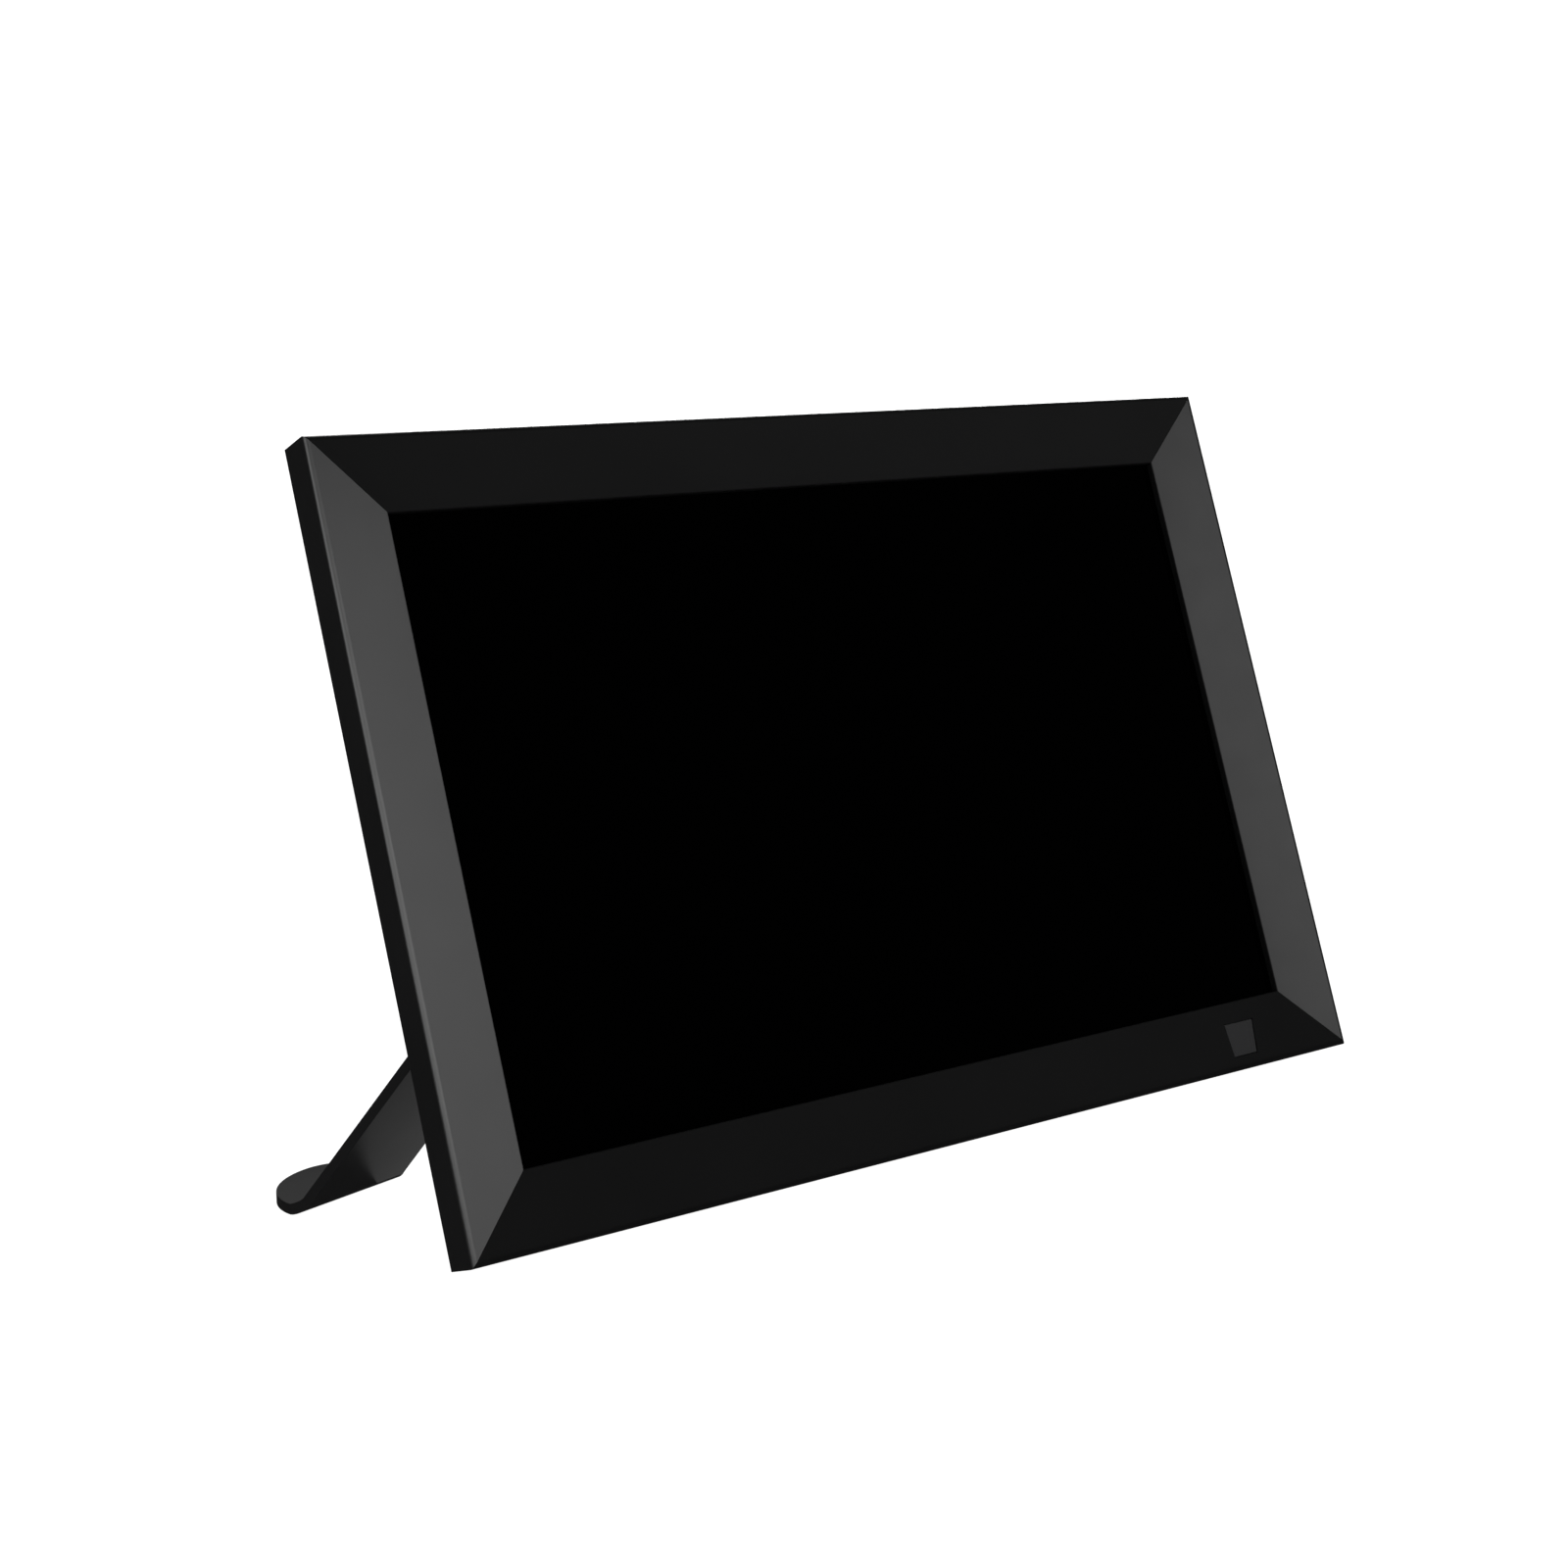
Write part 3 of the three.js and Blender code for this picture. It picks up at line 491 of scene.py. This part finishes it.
def rim_profile():
    """(outward distance, y) round a rail's section. Points beside the arcs keep the flats' shading flat."""
    centre = BEVEL - EDGE_RADIUS
    centre_y = bevel_front(centre) + EDGE_RADIUS / math.cos(SLOPE)
    lip_radius = 0.25
    lip = arc(lip_radius, bevel_front(0) + lip_radius, lip_radius, math.pi, 1.5 * math.pi - SLOPE, 4)
    edge = arc(centre, centre_y, EDGE_RADIUS, -math.pi / 2 - SLOPE, 0, 10)
    beside = 0.12
    slope_ends = (lip_radius + beside, centre - EDGE_RADIUS * math.sin(SLOPE) - beside)
    flat = [(out, bevel_front(out)) for out in slope_ends]
    foot_radius = 0.3
    side = [(BEVEL, centre_y + beside), (BEVEL, -foot_radius - beside)]
    foot = arc(BEVEL - foot_radius, -foot_radius, foot_radius, 0, math.pi / 2, 3)
    inside = [(BEVEL - RIM_WALL, 0), (BEVEL - RIM_WALL, bevel_front(BEVEL - RIM_WALL) + PLATE),
              (0, bevel_front(0) + PLATE)]
    return [*lip, *flat, *edge, *side, *foot, *inside]


def rail(name, first, second):
    """A rail between two corners, each given as the signs of its x and its height."""
    rings = []
    for corner, other in ((first, second), (second, first)):
        shift = [MITRE_GAP * (b - a) / 2 for a, b in zip(corner, other)]
        rings.append([(corner[0] * (OPENING_HALF + out) + shift[0], y,
                       MIDDLE + corner[1] * (MIDDLE - BEVEL + out) + shift[1])
                      for out, y in rim_profile()])
    return to_object(name, loft(rings))


def add_middle_boss(long_rail, row):
    """The screw boss and its pilot hole, behind the middle of a long rail."""
    boss_radius, pilot_radius = 2.6, 1.3
    combine(long_rail, "UNION", turned_y([(boss_radius, -8.4), (boss_radius, -2.3)], 0, row, 24))
    combine(long_rail, "DIFFERENCE", turned_y([(pilot_radius, -7.6), (pilot_radius, 0)], 0, row, 24))


def window_cutter(grow):
    """The window's outline, grown by the given amount, through the lower rail."""
    centre = (sum(x for x, _ in WINDOW) / 4, sum(z for _, z in WINDOW) / 4)
    outline = [(x + math.copysign(grow, x - centre[0]), z + math.copysign(grow, z - centre[1]))
               for x, z in WINDOW]
    front, back = -12, -6
    return stack([(outline, front), (outline, back)])


def make_rim():
    corners = {"left": ((-1, 1), (-1, -1)), "bottom": ((-1, -1), (1, -1)),
               "right": ((1, -1), (1, 1)), "top": ((1, 1), (-1, 1))}
    rails = {side: rail("rim_" + side, *ends) for side, ends in corners.items()}
    for side, row in zip(("bottom", "top"), SCREW_ROWS):
        add_middle_boss(rails[side], row)
    combine(rails["bottom"], "DIFFERENCE", window_cutter(0.1))
    for thing in rails.values():
        place(thing, "rim_plastic", stands_for=["front_bezel"], sharp=28)
    return rails


def make_window():
    """A smoked lens set a hair below the bevel, with softened edges."""
    recess, thickness = 0.1, 1.5
    rows = sorted({z for _, z in WINDOW})
    front = {z: bevel_front(BEVEL - z) + recess for z in rows}
    rings = [[(x, front[z] + depth, z) for x, z in WINDOW] for depth in (0, thickness)]
    lens = soften(to_object("window_lens", loft(rings)), 0.2, 3, 40)
    place(lens, "sensor_lens", stands_for=["sensor_window"])


# ---- Rear cover ----

def round_edge(half, low, high, corner, back, radius, steps=5):
    """Layers that turn a raised level's wall into its back face."""
    layers = []
    for step in range(steps + 1):
        angle = math.pi / 2 * step / steps
        by = radius * (1 - math.cos(angle))
        layers.append((rounded_rect(-half + by, half - by, low + by, high - by, corner - by),
                       back - radius + radius * math.sin(angle)))
    return layers


def round_root(half, low, high, corner, base, radius, steps=4):
    """Layers that sweep a flat face up into a raised level's wall."""
    layers = []
    for step in range(steps + 1):
        angle = math.pi / 2 * step / steps
        by = radius * (1 - math.sin(angle))
        layers.append((rounded_rect(-half - by, half + by, low - by, high + by, corner + by),
                       base + radius * (1 - math.cos(angle))))
    return layers


def cover_shell():
    """One stack: the inside from the hump down to the flange, then the outside back up to the hump."""
    step_half, step_low, step_high = 119.5, 10.5, HEIGHT - 10.5
    hump_low, hump_high = 26, 152
    flange, wall = 2.3, 2
    edge = lambda by: rounded_rect(-WIDTH / 2 + flange + by, WIDTH / 2 - flange - by,
                                   flange + by, HEIGHT - flange - by, 1)
    room = lambda by, low, high, half, corner: rounded_rect(-half + by, half - by,
                                                            low + by, high - by, corner)
    inner = [
        (room(wall, hump_low, hump_high, HUMP_HALF, 7), HUMP_BACK - wall),
        (room(wall, hump_low, hump_high, HUMP_HALF, 7), STEP_BACK - wall),
        (room(wall, step_low, step_high, step_half, 3), STEP_BACK - wall),
        (room(wall, step_low, step_high, step_half, 3), -2),
    ]
    outer = [(edge(0), -2), (edge(0), -0.2), (edge(0.2), 0),
             *round_root(step_half, step_low, step_high, 5, 0, 0.6, 3),
             *round_edge(step_half, step_low, step_high, 5, STEP_BACK, 1.2),
             *round_root(HUMP_HALF, hump_low, hump_high, 9, STEP_BACK, 1.2),
             *round_edge(HUMP_HALF, hump_low, hump_high, 9, HUMP_BACK, 2)]
    return stack([*inner, *outer])


def slot_cutter(x, z, width, length, chamfer=0.35):
    """A slot through the hump's back wall with a chamfered mouth."""
    grown = 2 * (chamfer + PAST_FACE)
    return stack([(slot_outline(x, z, width, length), HUMP_BACK - THROUGH_HUMP),
                  (slot_outline(x, z, width, length), HUMP_BACK - chamfer),
                  (slot_outline(x, z, width + grown, length + grown), HUMP_BACK + PAST_FACE)])


def port_cutter(y, z, half_y, half_z, radius, chamfer=0.4):
    """A rounded opening through the hump's side wall with a chamfered mouth."""
    layers = []
    mouth = (chamfer + PAST_FACE, HUMP_HALF + PAST_FACE)
    for grow, x in ((0, HUMP_HALF - 3.5), (0, HUMP_HALF - chamfer), mouth):
        outline = rounded_rect(y - half_y - grow, y + half_y + grow, z - half_z - grow,
                               z + half_z + grow, radius + grow, 6)
        layers.append((outline, x))
    return stack_x(layers)


def round_hole(x, z, radius, chamfer=0.35):
    return turned_y([(radius, HUMP_BACK - THROUGH_HUMP), (radius, HUMP_BACK - chamfer),
                     (radius + chamfer + PAST_FACE, HUMP_BACK + PAST_FACE)], x, z)


def hinge_matrix():
    """The open left leg's frame: X along its pin, Y out of the leaf's face, in millimetres."""
    joint = JOINTS["left_leg_fold"]
    axis = Vector(joint["axis"]).normalized()
    opening = -math.radians(joint["range_deg"][0])
    back = Vector((0, math.cos(TILT), -math.sin(TILT)))
    out = Matrix.Rotation(opening, 3, axis) @ back
    basis = Matrix((axis, out, axis.cross(out))).transposed().to_4x4()
    return Matrix.Translation(joint["pos_m"]) @ basis @ Matrix.Scale(MM, 4), opening


HINGE, OPENING = hinge_matrix()


def ear_forms(side):
    """Two rounded lugs that stand on the cover's step and hold one hinge pin."""
    folded = BODY.inverted() @ HINGE @ Matrix.Rotation(-OPENING, 4, "X")
    radius, chamfer, sink = 3.4, 0.3, 0.6
    foot = STEP_BACK - sink - HINGE_BACK
    foot_spread, neck_spread, neck = 1.2, 0.25, foot + 1.6
    outline = [(foot, -radius - foot_spread), (neck, -radius - neck_spread),
               *arc(0, 0, radius, -math.pi / 2, math.pi / 2, 14),
               (neck, radius + neck_spread), (foot, radius + foot_spread)]
    forms = []
    for x0, x1 in EARS:
        layers = []
        for grow, x in ((-chamfer, x0), (0, x0 + chamfer), (0, x1 - chamfer), (-chamfer, x1)):
            scale = (radius + grow) / radius
            layers.append(([(y if y < foot + 0.1 else y * scale, z * scale) for y, z in outline], x))
        vertices, faces = stack_x(layers)
        vertices = [folded @ Vector(point) for point in vertices]
        forms.append(([(side * -point.x, point.y, point.z) for point in vertices], faces))
    return forms


def bore_form(side):
    """The pin's bore through both ears."""
    to_body = BODY.inverted() @ HINGE
    vertices, faces = turned_x([(BORE, EARS[0][0] - 1), (BORE, EARS[1][1] + 1)], 0, 0, 24)
    vertices = [to_body @ Vector(point) for point in vertices]
    return [(side * -point.x, point.y, point.z) for point in vertices], faces


def make_cover():
    cover = to_object("cover_shell", cover_shell())
    cutters = [slot_cutter(x, VENT_MIDDLE, SLOT_WIDTH, VENT_LENGTH) for x in VENTS]
    cutters += [slot_cutter(x + dx, GRILLE_MIDDLE, SLOT_WIDTH, GRILLE_LENGTH)
                for x in SPEAKERS for dx in GRILLE]
    cutters.append(round_hole(*BUTTON, BUTTON_HOLE))
    cutters += [port_cutter(*DC, half_y=4.2, half_z=4.2, radius=4.19),
                port_cutter(*USB, half_y=3.3, half_z=7.2, radius=0.8),
                port_cutter(*CARD, half_y=1.8, half_z=13, radius=0.6)]
    shank, seat, seat_depth = 1.4, 2.8, -1.1
    screw_hole = [(shank, -3), (shank, seat_depth), (seat, seat_depth), (seat, 1)]
    cutters += [turned_y(screw_hole, x, z, 28) for x, z in SCREW_PLACES]
    combine(cover, "DIFFERENCE", several(*cutters))
    neck_middle = (KEYHOLE_LOW + KEYHOLE_HIGH) / 2
    neck_length = KEYHOLE_HIGH - KEYHOLE_LOW + KEYHOLE_NECK
    combine(cover, "DIFFERENCE",
            several(*[round_hole(x, KEYHOLE_LOW, KEYHOLE_HEAD) for x in KEYHOLES]),
            several(*[slot_cutter(x, neck_middle, KEYHOLE_NECK, neck_length) for x in KEYHOLES]))
    combine(cover, "UNION", several(*ear_forms(1), *ear_forms(-1)))
    combine(cover, "DIFFERENCE", several(bore_form(1), bore_form(-1)))
    return place(cover, "cover_plastic", stands_for=["rear_cover"], sharp=34)


def make_screw(name, x, z):
    """A pan-head screw with a cross recess."""
    shank, head, under, rim, back, flat = 1, 2.4, -0.8, -0.35, 0.2, 0.2
    profile = [(0.6, -7), (shank, -6.2), (shank, under), (head, under), (head, rim)]
    profile += [(flat + (head - flat) * math.cos(a), rim + (back - rim) * math.sin(a))
                for a in [math.pi / 2 * i / 6 for i in range(1, 7)]]
    screw = to_object(name, turned_y(profile, x, z, 36))
    arm, half_slot, recess = 1.3, 0.27, 0.75
    arms = [block(x - a, x + a, back - recess, back + 1, z - b, z + b)
            for a, b in ((arm, half_slot), (half_slot, arm))]
    return combine(screw, "DIFFERENCE", *arms)


def make_screws():
    return [place(make_screw(f"screw_{i}", x, z), "screw_steel", stands_for=[f"cover_screw_{i}"])
            for i, (x, z) in enumerate(SCREW_PLACES, 1)]


def make_button():
    """A cap with a rounded rim and a finger dish, over its flange and stem."""
    stem, flange, cap, rim = 1.5, 4.8, 3.6, 0.5
    inner, top = HUMP_BACK - 2.3, HUMP_BACK + 1
    profile = [(stem, 10.4), (stem, inner - 0.8), (flange, inner - 0.8), (flange, inner), (cap, inner)]
    profile += [(cap - rim + rim * math.cos(a), top - rim + rim * math.sin(a))
                for a in [math.pi / 2 * i / 5 for i in range(6)]]
    profile += [(2.2, top - 0.12), (1.2, top - 0.26), (0.3, top - 0.3)]
    button = to_object("button_cap", turned_y(profile, *BUTTON, 40))
    return place(button, "leg_plastic", "button", ["power_button"], sharp=40)


# ---- Sockets ----

def shell_form(x0, x1, y, z, half_y, half_z, radius, wall):
    """A folded metal shell, open towards +X."""
    outer = rounded_rect(y - half_y, y + half_y, z - half_z, z + half_z, radius, 5)
    inner = rounded_rect(y - half_y + wall, y + half_y - wall, z - half_z + wall, z + half_z - wall,
                         max(radius - wall, 0.15), 5)
    return stack_x([(outer, x0), (outer, x1), (inner, x1), (inner, x0 + 1)])


def make_jack():
    """The power inlet's body, and the pin in the middle of its bore."""
    y, z = DC
    half_height, bore, pin = 4.6, 2.8, 1
    jack = to_object("jack_body", block(64, SOCKET_FACE, 6.5, y + 2.9, z - half_height, z + half_height))
    mouth = [(bore, 67), (bore, SOCKET_FACE - 0.4), (bore + 0.5, SOCKET_FACE + 0.1)]
    combine(jack, "DIFFERENCE", turned_x(mouth, y, z))
    place(soften(jack, 0.25, 2), "dark_fitting", stands_for=["dc_jack"])
    tip = [(pin, 66.9), (pin, SOCKET_FACE - 1.1), (0.7, SOCKET_FACE - 0.6), (0.25, SOCKET_FACE - 0.5)]
    place(to_object("jack_pin", turned_x(tip, y, z, 24)), "steel")


def make_usb():
    """The port's shell, its tongue, and four contacts on the tongue."""
    y, z = USB
    tongue_low, tongue_top, tongue_half, contact_half = y - 1.9, y - 0.4, 5.6, 0.5
    shell = to_object("usb_shell", shell_form(64, SOCKET_FACE, y, z, 2.9, 6.6, 0.7, 0.3))
    place(shell, "steel", stands_for=["usb_port"])
    tongue = to_object("usb_tongue", block(65.1, SOCKET_FACE - 1, tongue_low, tongue_top,
                                           z - tongue_half, z + tongue_half))
    place(soften(tongue, 0.15, 2), "dark_fitting")
    contacts = [block(67, SOCKET_FACE - 1.6, y - 0.38, y - 0.3, z + c - contact_half, z + c + contact_half)
                for c in (-3.5, -1.2, 1.2, 3.5)]
    place(to_object("usb_contacts", several(*contacts)), "steel", look="contact_gold")


def make_card_slot():
    shell = to_object("card_shell", shell_form(50, SOCKET_FACE, *CARD, 1.55, 13.6, 0.4, 0.3))
    place(shell, "steel", stands_for=["card_slot"])


# ---- Supports ----

def make_rest_foot(side, name, node):
    """A rubber wedge, flat on the table, with a row of grip grooves."""
    table = lambda y: y * math.tan(TILT) - rim_box[0].z / MM / math.cos(TILT)
    x, half_width = 75 * side, 15
    front, back, top = 0.3, 7, 9
    outline = [(front, table(front)), (back, table(back)), (back, top), (front, top)]
    sides = [(outline, x - half_width), (outline, x + half_width)]
    foot = soften(to_object(name, stack_x(sides)), 0.45, 3, 40)
    apply_modifiers(foot)
    near, far, depth, half_groove, pitch = 0.9, 6.4, 0.35, 0.35, 3
    section = [(near, table(near) - 1), (far, table(far) - 1),
               (far, table(far) + depth), (near, table(near) + depth)]
    middles = [x + i * pitch for i in range(-4, 5)]
    grooves = [stack_x([(section, middle - half_groove), (section, middle + half_groove)])
               for middle in middles]
    combine(foot, "DIFFERENCE", several(*grooves))
    place(foot, "rubber", stands_for=[node])


def leg_layout():
    """Where the open left leg meets the table, in its hinge frame."""
    turn = HINGE.to_3x3().normalized()
    up = turn.transposed() @ Vector((0, 0, 1))
    normal = Vector((0, 1, 0))
    heel = normal.cross(up).normalized()
    lip = up.cross(heel)
    leaf_up = heel.cross(normal)
    slope = math.asin(leaf_up.dot(up))
    axis = Vector((-math.sin(SPLAY), 0, -math.cos(SPLAY)))
    hinge_middle = Vector((sum(BARREL) / 2, 0, 0))
    start = HINGE.translation.z / MM + up.dot(hinge_middle)
    heel_point = hinge_middle + axis * ((start - PAD_PROUD - LEG_HALF) / -up.dot(axis))
    return {"heel": heel, "lip": lip, "up": up, "leaf_up": leaf_up, "slope": slope, "axis": axis,
            "point": heel_point, "reach": LEG_BEND * math.tan(slope / 2)}


LEG = leg_layout()


def foot_point(across, out, height):
    return LEG["point"] + LEG["heel"] * across + LEG["lip"] * out + LEG["up"] * height


def leaf_sections():
    """(left point, right point, thickness direction) down the leaf to its bend."""
    half = LEG_WIDTH / 2
    low = LEG["point"] + LEG["leaf_up"] * LEG["reach"]
    sections = []
    ends = [low + LEG["heel"] * -half, low + LEG["heel"] * half]
    tops = [end + LEG["axis"] * ((end.z + SHOULDER) / math.cos(SPLAY)) for end in ends]
    steps = 8
    for step in range(steps + 1):
        share = step / steps
        left, right = [start.lerp(end, share) for start, end in zip(tops, ends)]
        sections.append((left, right, Vector((0, 1, 0))))
    return sections


def bend_sections():
    """The same round the bend, where the outboard edge starts to flare."""
    half, steps = LEG_WIDTH / 2, 12
    sections = []
    for step in range(1, steps + 1):
        angle = -math.pi / 2 - LEG["slope"] * (1 - step / steps)
        out = LEG["reach"] + LEG_BEND * math.cos(angle)
        height = LEG_BEND + LEG_BEND * math.sin(angle)
        direction = LEG["lip"] * -math.cos(angle) + LEG["up"] * -math.sin(angle)
        share = step / steps
        flare = TOE_FLARE * share ** 2 * (3 - 2 * share)
        sections.append((foot_point(-half - flare, out, height), foot_point(half, out, height), direction))
    return sections


def lip_sections():
    """The same along the half-elliptical lip, which stops just short of a point."""
    half, steps, blunt = LEG_WIDTH / 2, 28, 0.985
    sections = []
    for step in range(1, steps + 1):
        angle = math.pi / 2 * step / steps * blunt
        narrowing = math.cos(angle)
        out = LEG["reach"] + LIP_LENGTH * math.sin(angle)
        sections.append((foot_point(-(half + TOE_FLARE) * narrowing, out, 0),
                         foot_point(half * narrowing, out, 0), LEG["up"]))
    return sections


def leg_plate():
    """The leaf, its bend and its round lip as one plate of even thickness."""
    rings = []
    for left, right, direction in [*leaf_sections(), *bend_sections(), *lip_sections()]:
        offset = direction * LEG_HALF
        rings.append([left - offset, right - offset, right + offset, left + offset])
    return loft(rings)


def disc(radius, low, high, sides=48):
    """A round plate under the lip, between two heights over the plate's middle."""
    out = LEG["reach"] + PAD_OUT
    ring = arc(0, out, radius, 0, 2 * math.pi * (1 - 1 / sides), sides - 1)
    return loft([[foot_point(u, v, height) for u, v in ring] for height in (low, high)])


def make_legs():
    """Both legs and their pads: the right ones are the left ones mirrored."""
    table = -LEG_HALF - PAD_PROUD
    plate = soften(to_object("leg", leg_plate()), 0.6, 4, 45)
    apply_modifiers(plate)
    neck = block(BARREL[0], BARREL[1], -LEG_HALF, LEG_HALF, -SHOULDER - 0.6, SHOULDER)
    chamfer, gap = 0.3, 0.3
    barrel = [(BARREL_RADIUS - chamfer, BARREL[0]), (BARREL_RADIUS, BARREL[0] + chamfer),
              (BARREL_RADIUS, BARREL[1] - chamfer), (BARREL_RADIUS - chamfer, BARREL[1])]
    combine(plate, "UNION", neck, turned_x(barrel, 0, 0, 40))
    combine(plate, "DIFFERENCE", turned_x([(BORE, BARREL[0] - 1), (BORE, BARREL[1] + 1)], 0, 0, 24),
            disc(PAD_RADIUS + gap, table - 1, table + PAD_TOP + gap))
    pad = soften(to_object("pad", disc(PAD_RADIUS, table, table + PAD_TOP)), 0.25, 3, 40)
    apply_modifiers(pad)
    mirror = Matrix.Scale(-1, 4, (1, 0, 0))
    legs = []
    for side, matrix in (("left", HINGE), ("right", mirror @ HINGE)):
        for base, slot, node in ((plate, "leg_plastic", "leg_"), (pad, "rubber", "leg_pad_")):
            copy = bpy.data.objects.new(f"{base.name}_{side}_made", base.data.copy())
            bpy.context.collection.objects.link(copy)
            if side == "right":
                copy.data.flip_normals()
            place(copy, slot, side + "_leg", [node + side], matrix, sharp=38)
            legs.append(copy)
    for base in (plate, pad):
        bpy.data.objects.remove(base)
    return legs


# ---- Everything that keeps its CAD shape ----

# Edge radius in millimetres of the CAD pieces that are softened.
SOFT_EDGES = {"shield_can": 0.4, "wifi_module": 0.3, "memory_chip": 0.12, "flash_chip": 0.12,
              "power_inductor": 0.5, "speaker_left": 0.6, "speaker_right": 0.6, "main_board": 0.1,
              "cover_glass": 0.15, "sensor_element": 0.15, "capacitor_1": 0.25, "capacitor_2": 0.25}


def dress_cad_nodes():
    """Gives every node that no made piece replaces its material, and some of them softer edges."""
    slots = {part["node"]: part["material_slot"] for part in frame["record"]["subparts"]}
    for name, node in NODES.items():
        if node.hide_render:
            continue
        node.data.materials.clear()
        node.data.materials.append(MATERIALS[slots[name]])
        if name in SOFT_EDGES:
            soften(node, SOFT_EDGES[name] * MM, 2, 40)


def make_lights(rails, legs, housing):
    """Soft panels: one or two for each rail, and others for the legs and the housing."""
    softbox("left_rail_panel", (0.5, -0.52, 0.32), (-0.12, 0, 0.09), (0.5, 0.6), 1.7, [rails["left"]])
    softbox("right_rail_panel", (0.5, -0.75, 0.42), (0.12, 0, 0.09), (0.5, 0.6), 1.6, [rails["right"]])
    softbox("top_rail_panel", (0.5, -0.62, 0.4), (0, 0, 0.15), (0.7, 0.5), 0.11, [rails["top"]])
    softbox("low_rail_panel", (0.5, -0.58, 0.5), (0, 0, 0.03), (0.7, 0.5), 0.055, [rails["bottom"]])
    softbox("edge_front_panel", (-0.07, -0.9, 0.5), (-0.12, 0, 0.08), (1, 0.5), 6, [rails["left"]])
    softbox("edge_side_panel", (-0.9, -0.45, 0.42), (-0.12, 0, 0.08), (1.1, 0.5), 6, [rails["left"]])
    softbox("leg_bounce", (-0.07, 0.0, 0.002), (-0.07, 0.0, 1), (0.1, 0.11), 0.0095, legs)
    softbox("lip_panel", (0.25, 0.9, 0.34), (-0.13, 0.03, 0), (0.4, 0.3), 0.1, legs)
    softbox("leg_back_panel", (-0.1, 0.75, 0.9), (0, 0, 0.04), (1.2, 0.35), 2, legs)
    unseen_walls = [rails["top"], rails["bottom"], rails["right"]]
    softbox("floor_bounce", (0, 0.2, 0.003), (0, 0.2, 1), (0.32, 0.3), 0.5, housing)
    softbox("back_left", (-0.9, 0.7, 0.8), (0, 0, 0.08), (0.6, 0.6), 12, [*housing, *unseen_walls])
    softbox("back_right", (0.7, 0.9, 0.6), (0, 0, 0.08), (0.6, 0.6), 12, [*housing, *rails.values()])


make_camera()
make_stage()
make_world()
MATERIALS = make_materials()
rim = make_rim()
make_window()
back_cover = make_cover()
screws = make_screws()
cap = make_button()
make_jack()
make_usb()
make_card_slot()
make_rest_foot(-1, "foot_left", "rest_foot_left")
make_rest_foot(1, "foot_right", "rest_foot_right")
leg_pieces = make_legs()
dress_cad_nodes()
make_lights(rim, leg_pieces, [back_cover, *screws, cap])
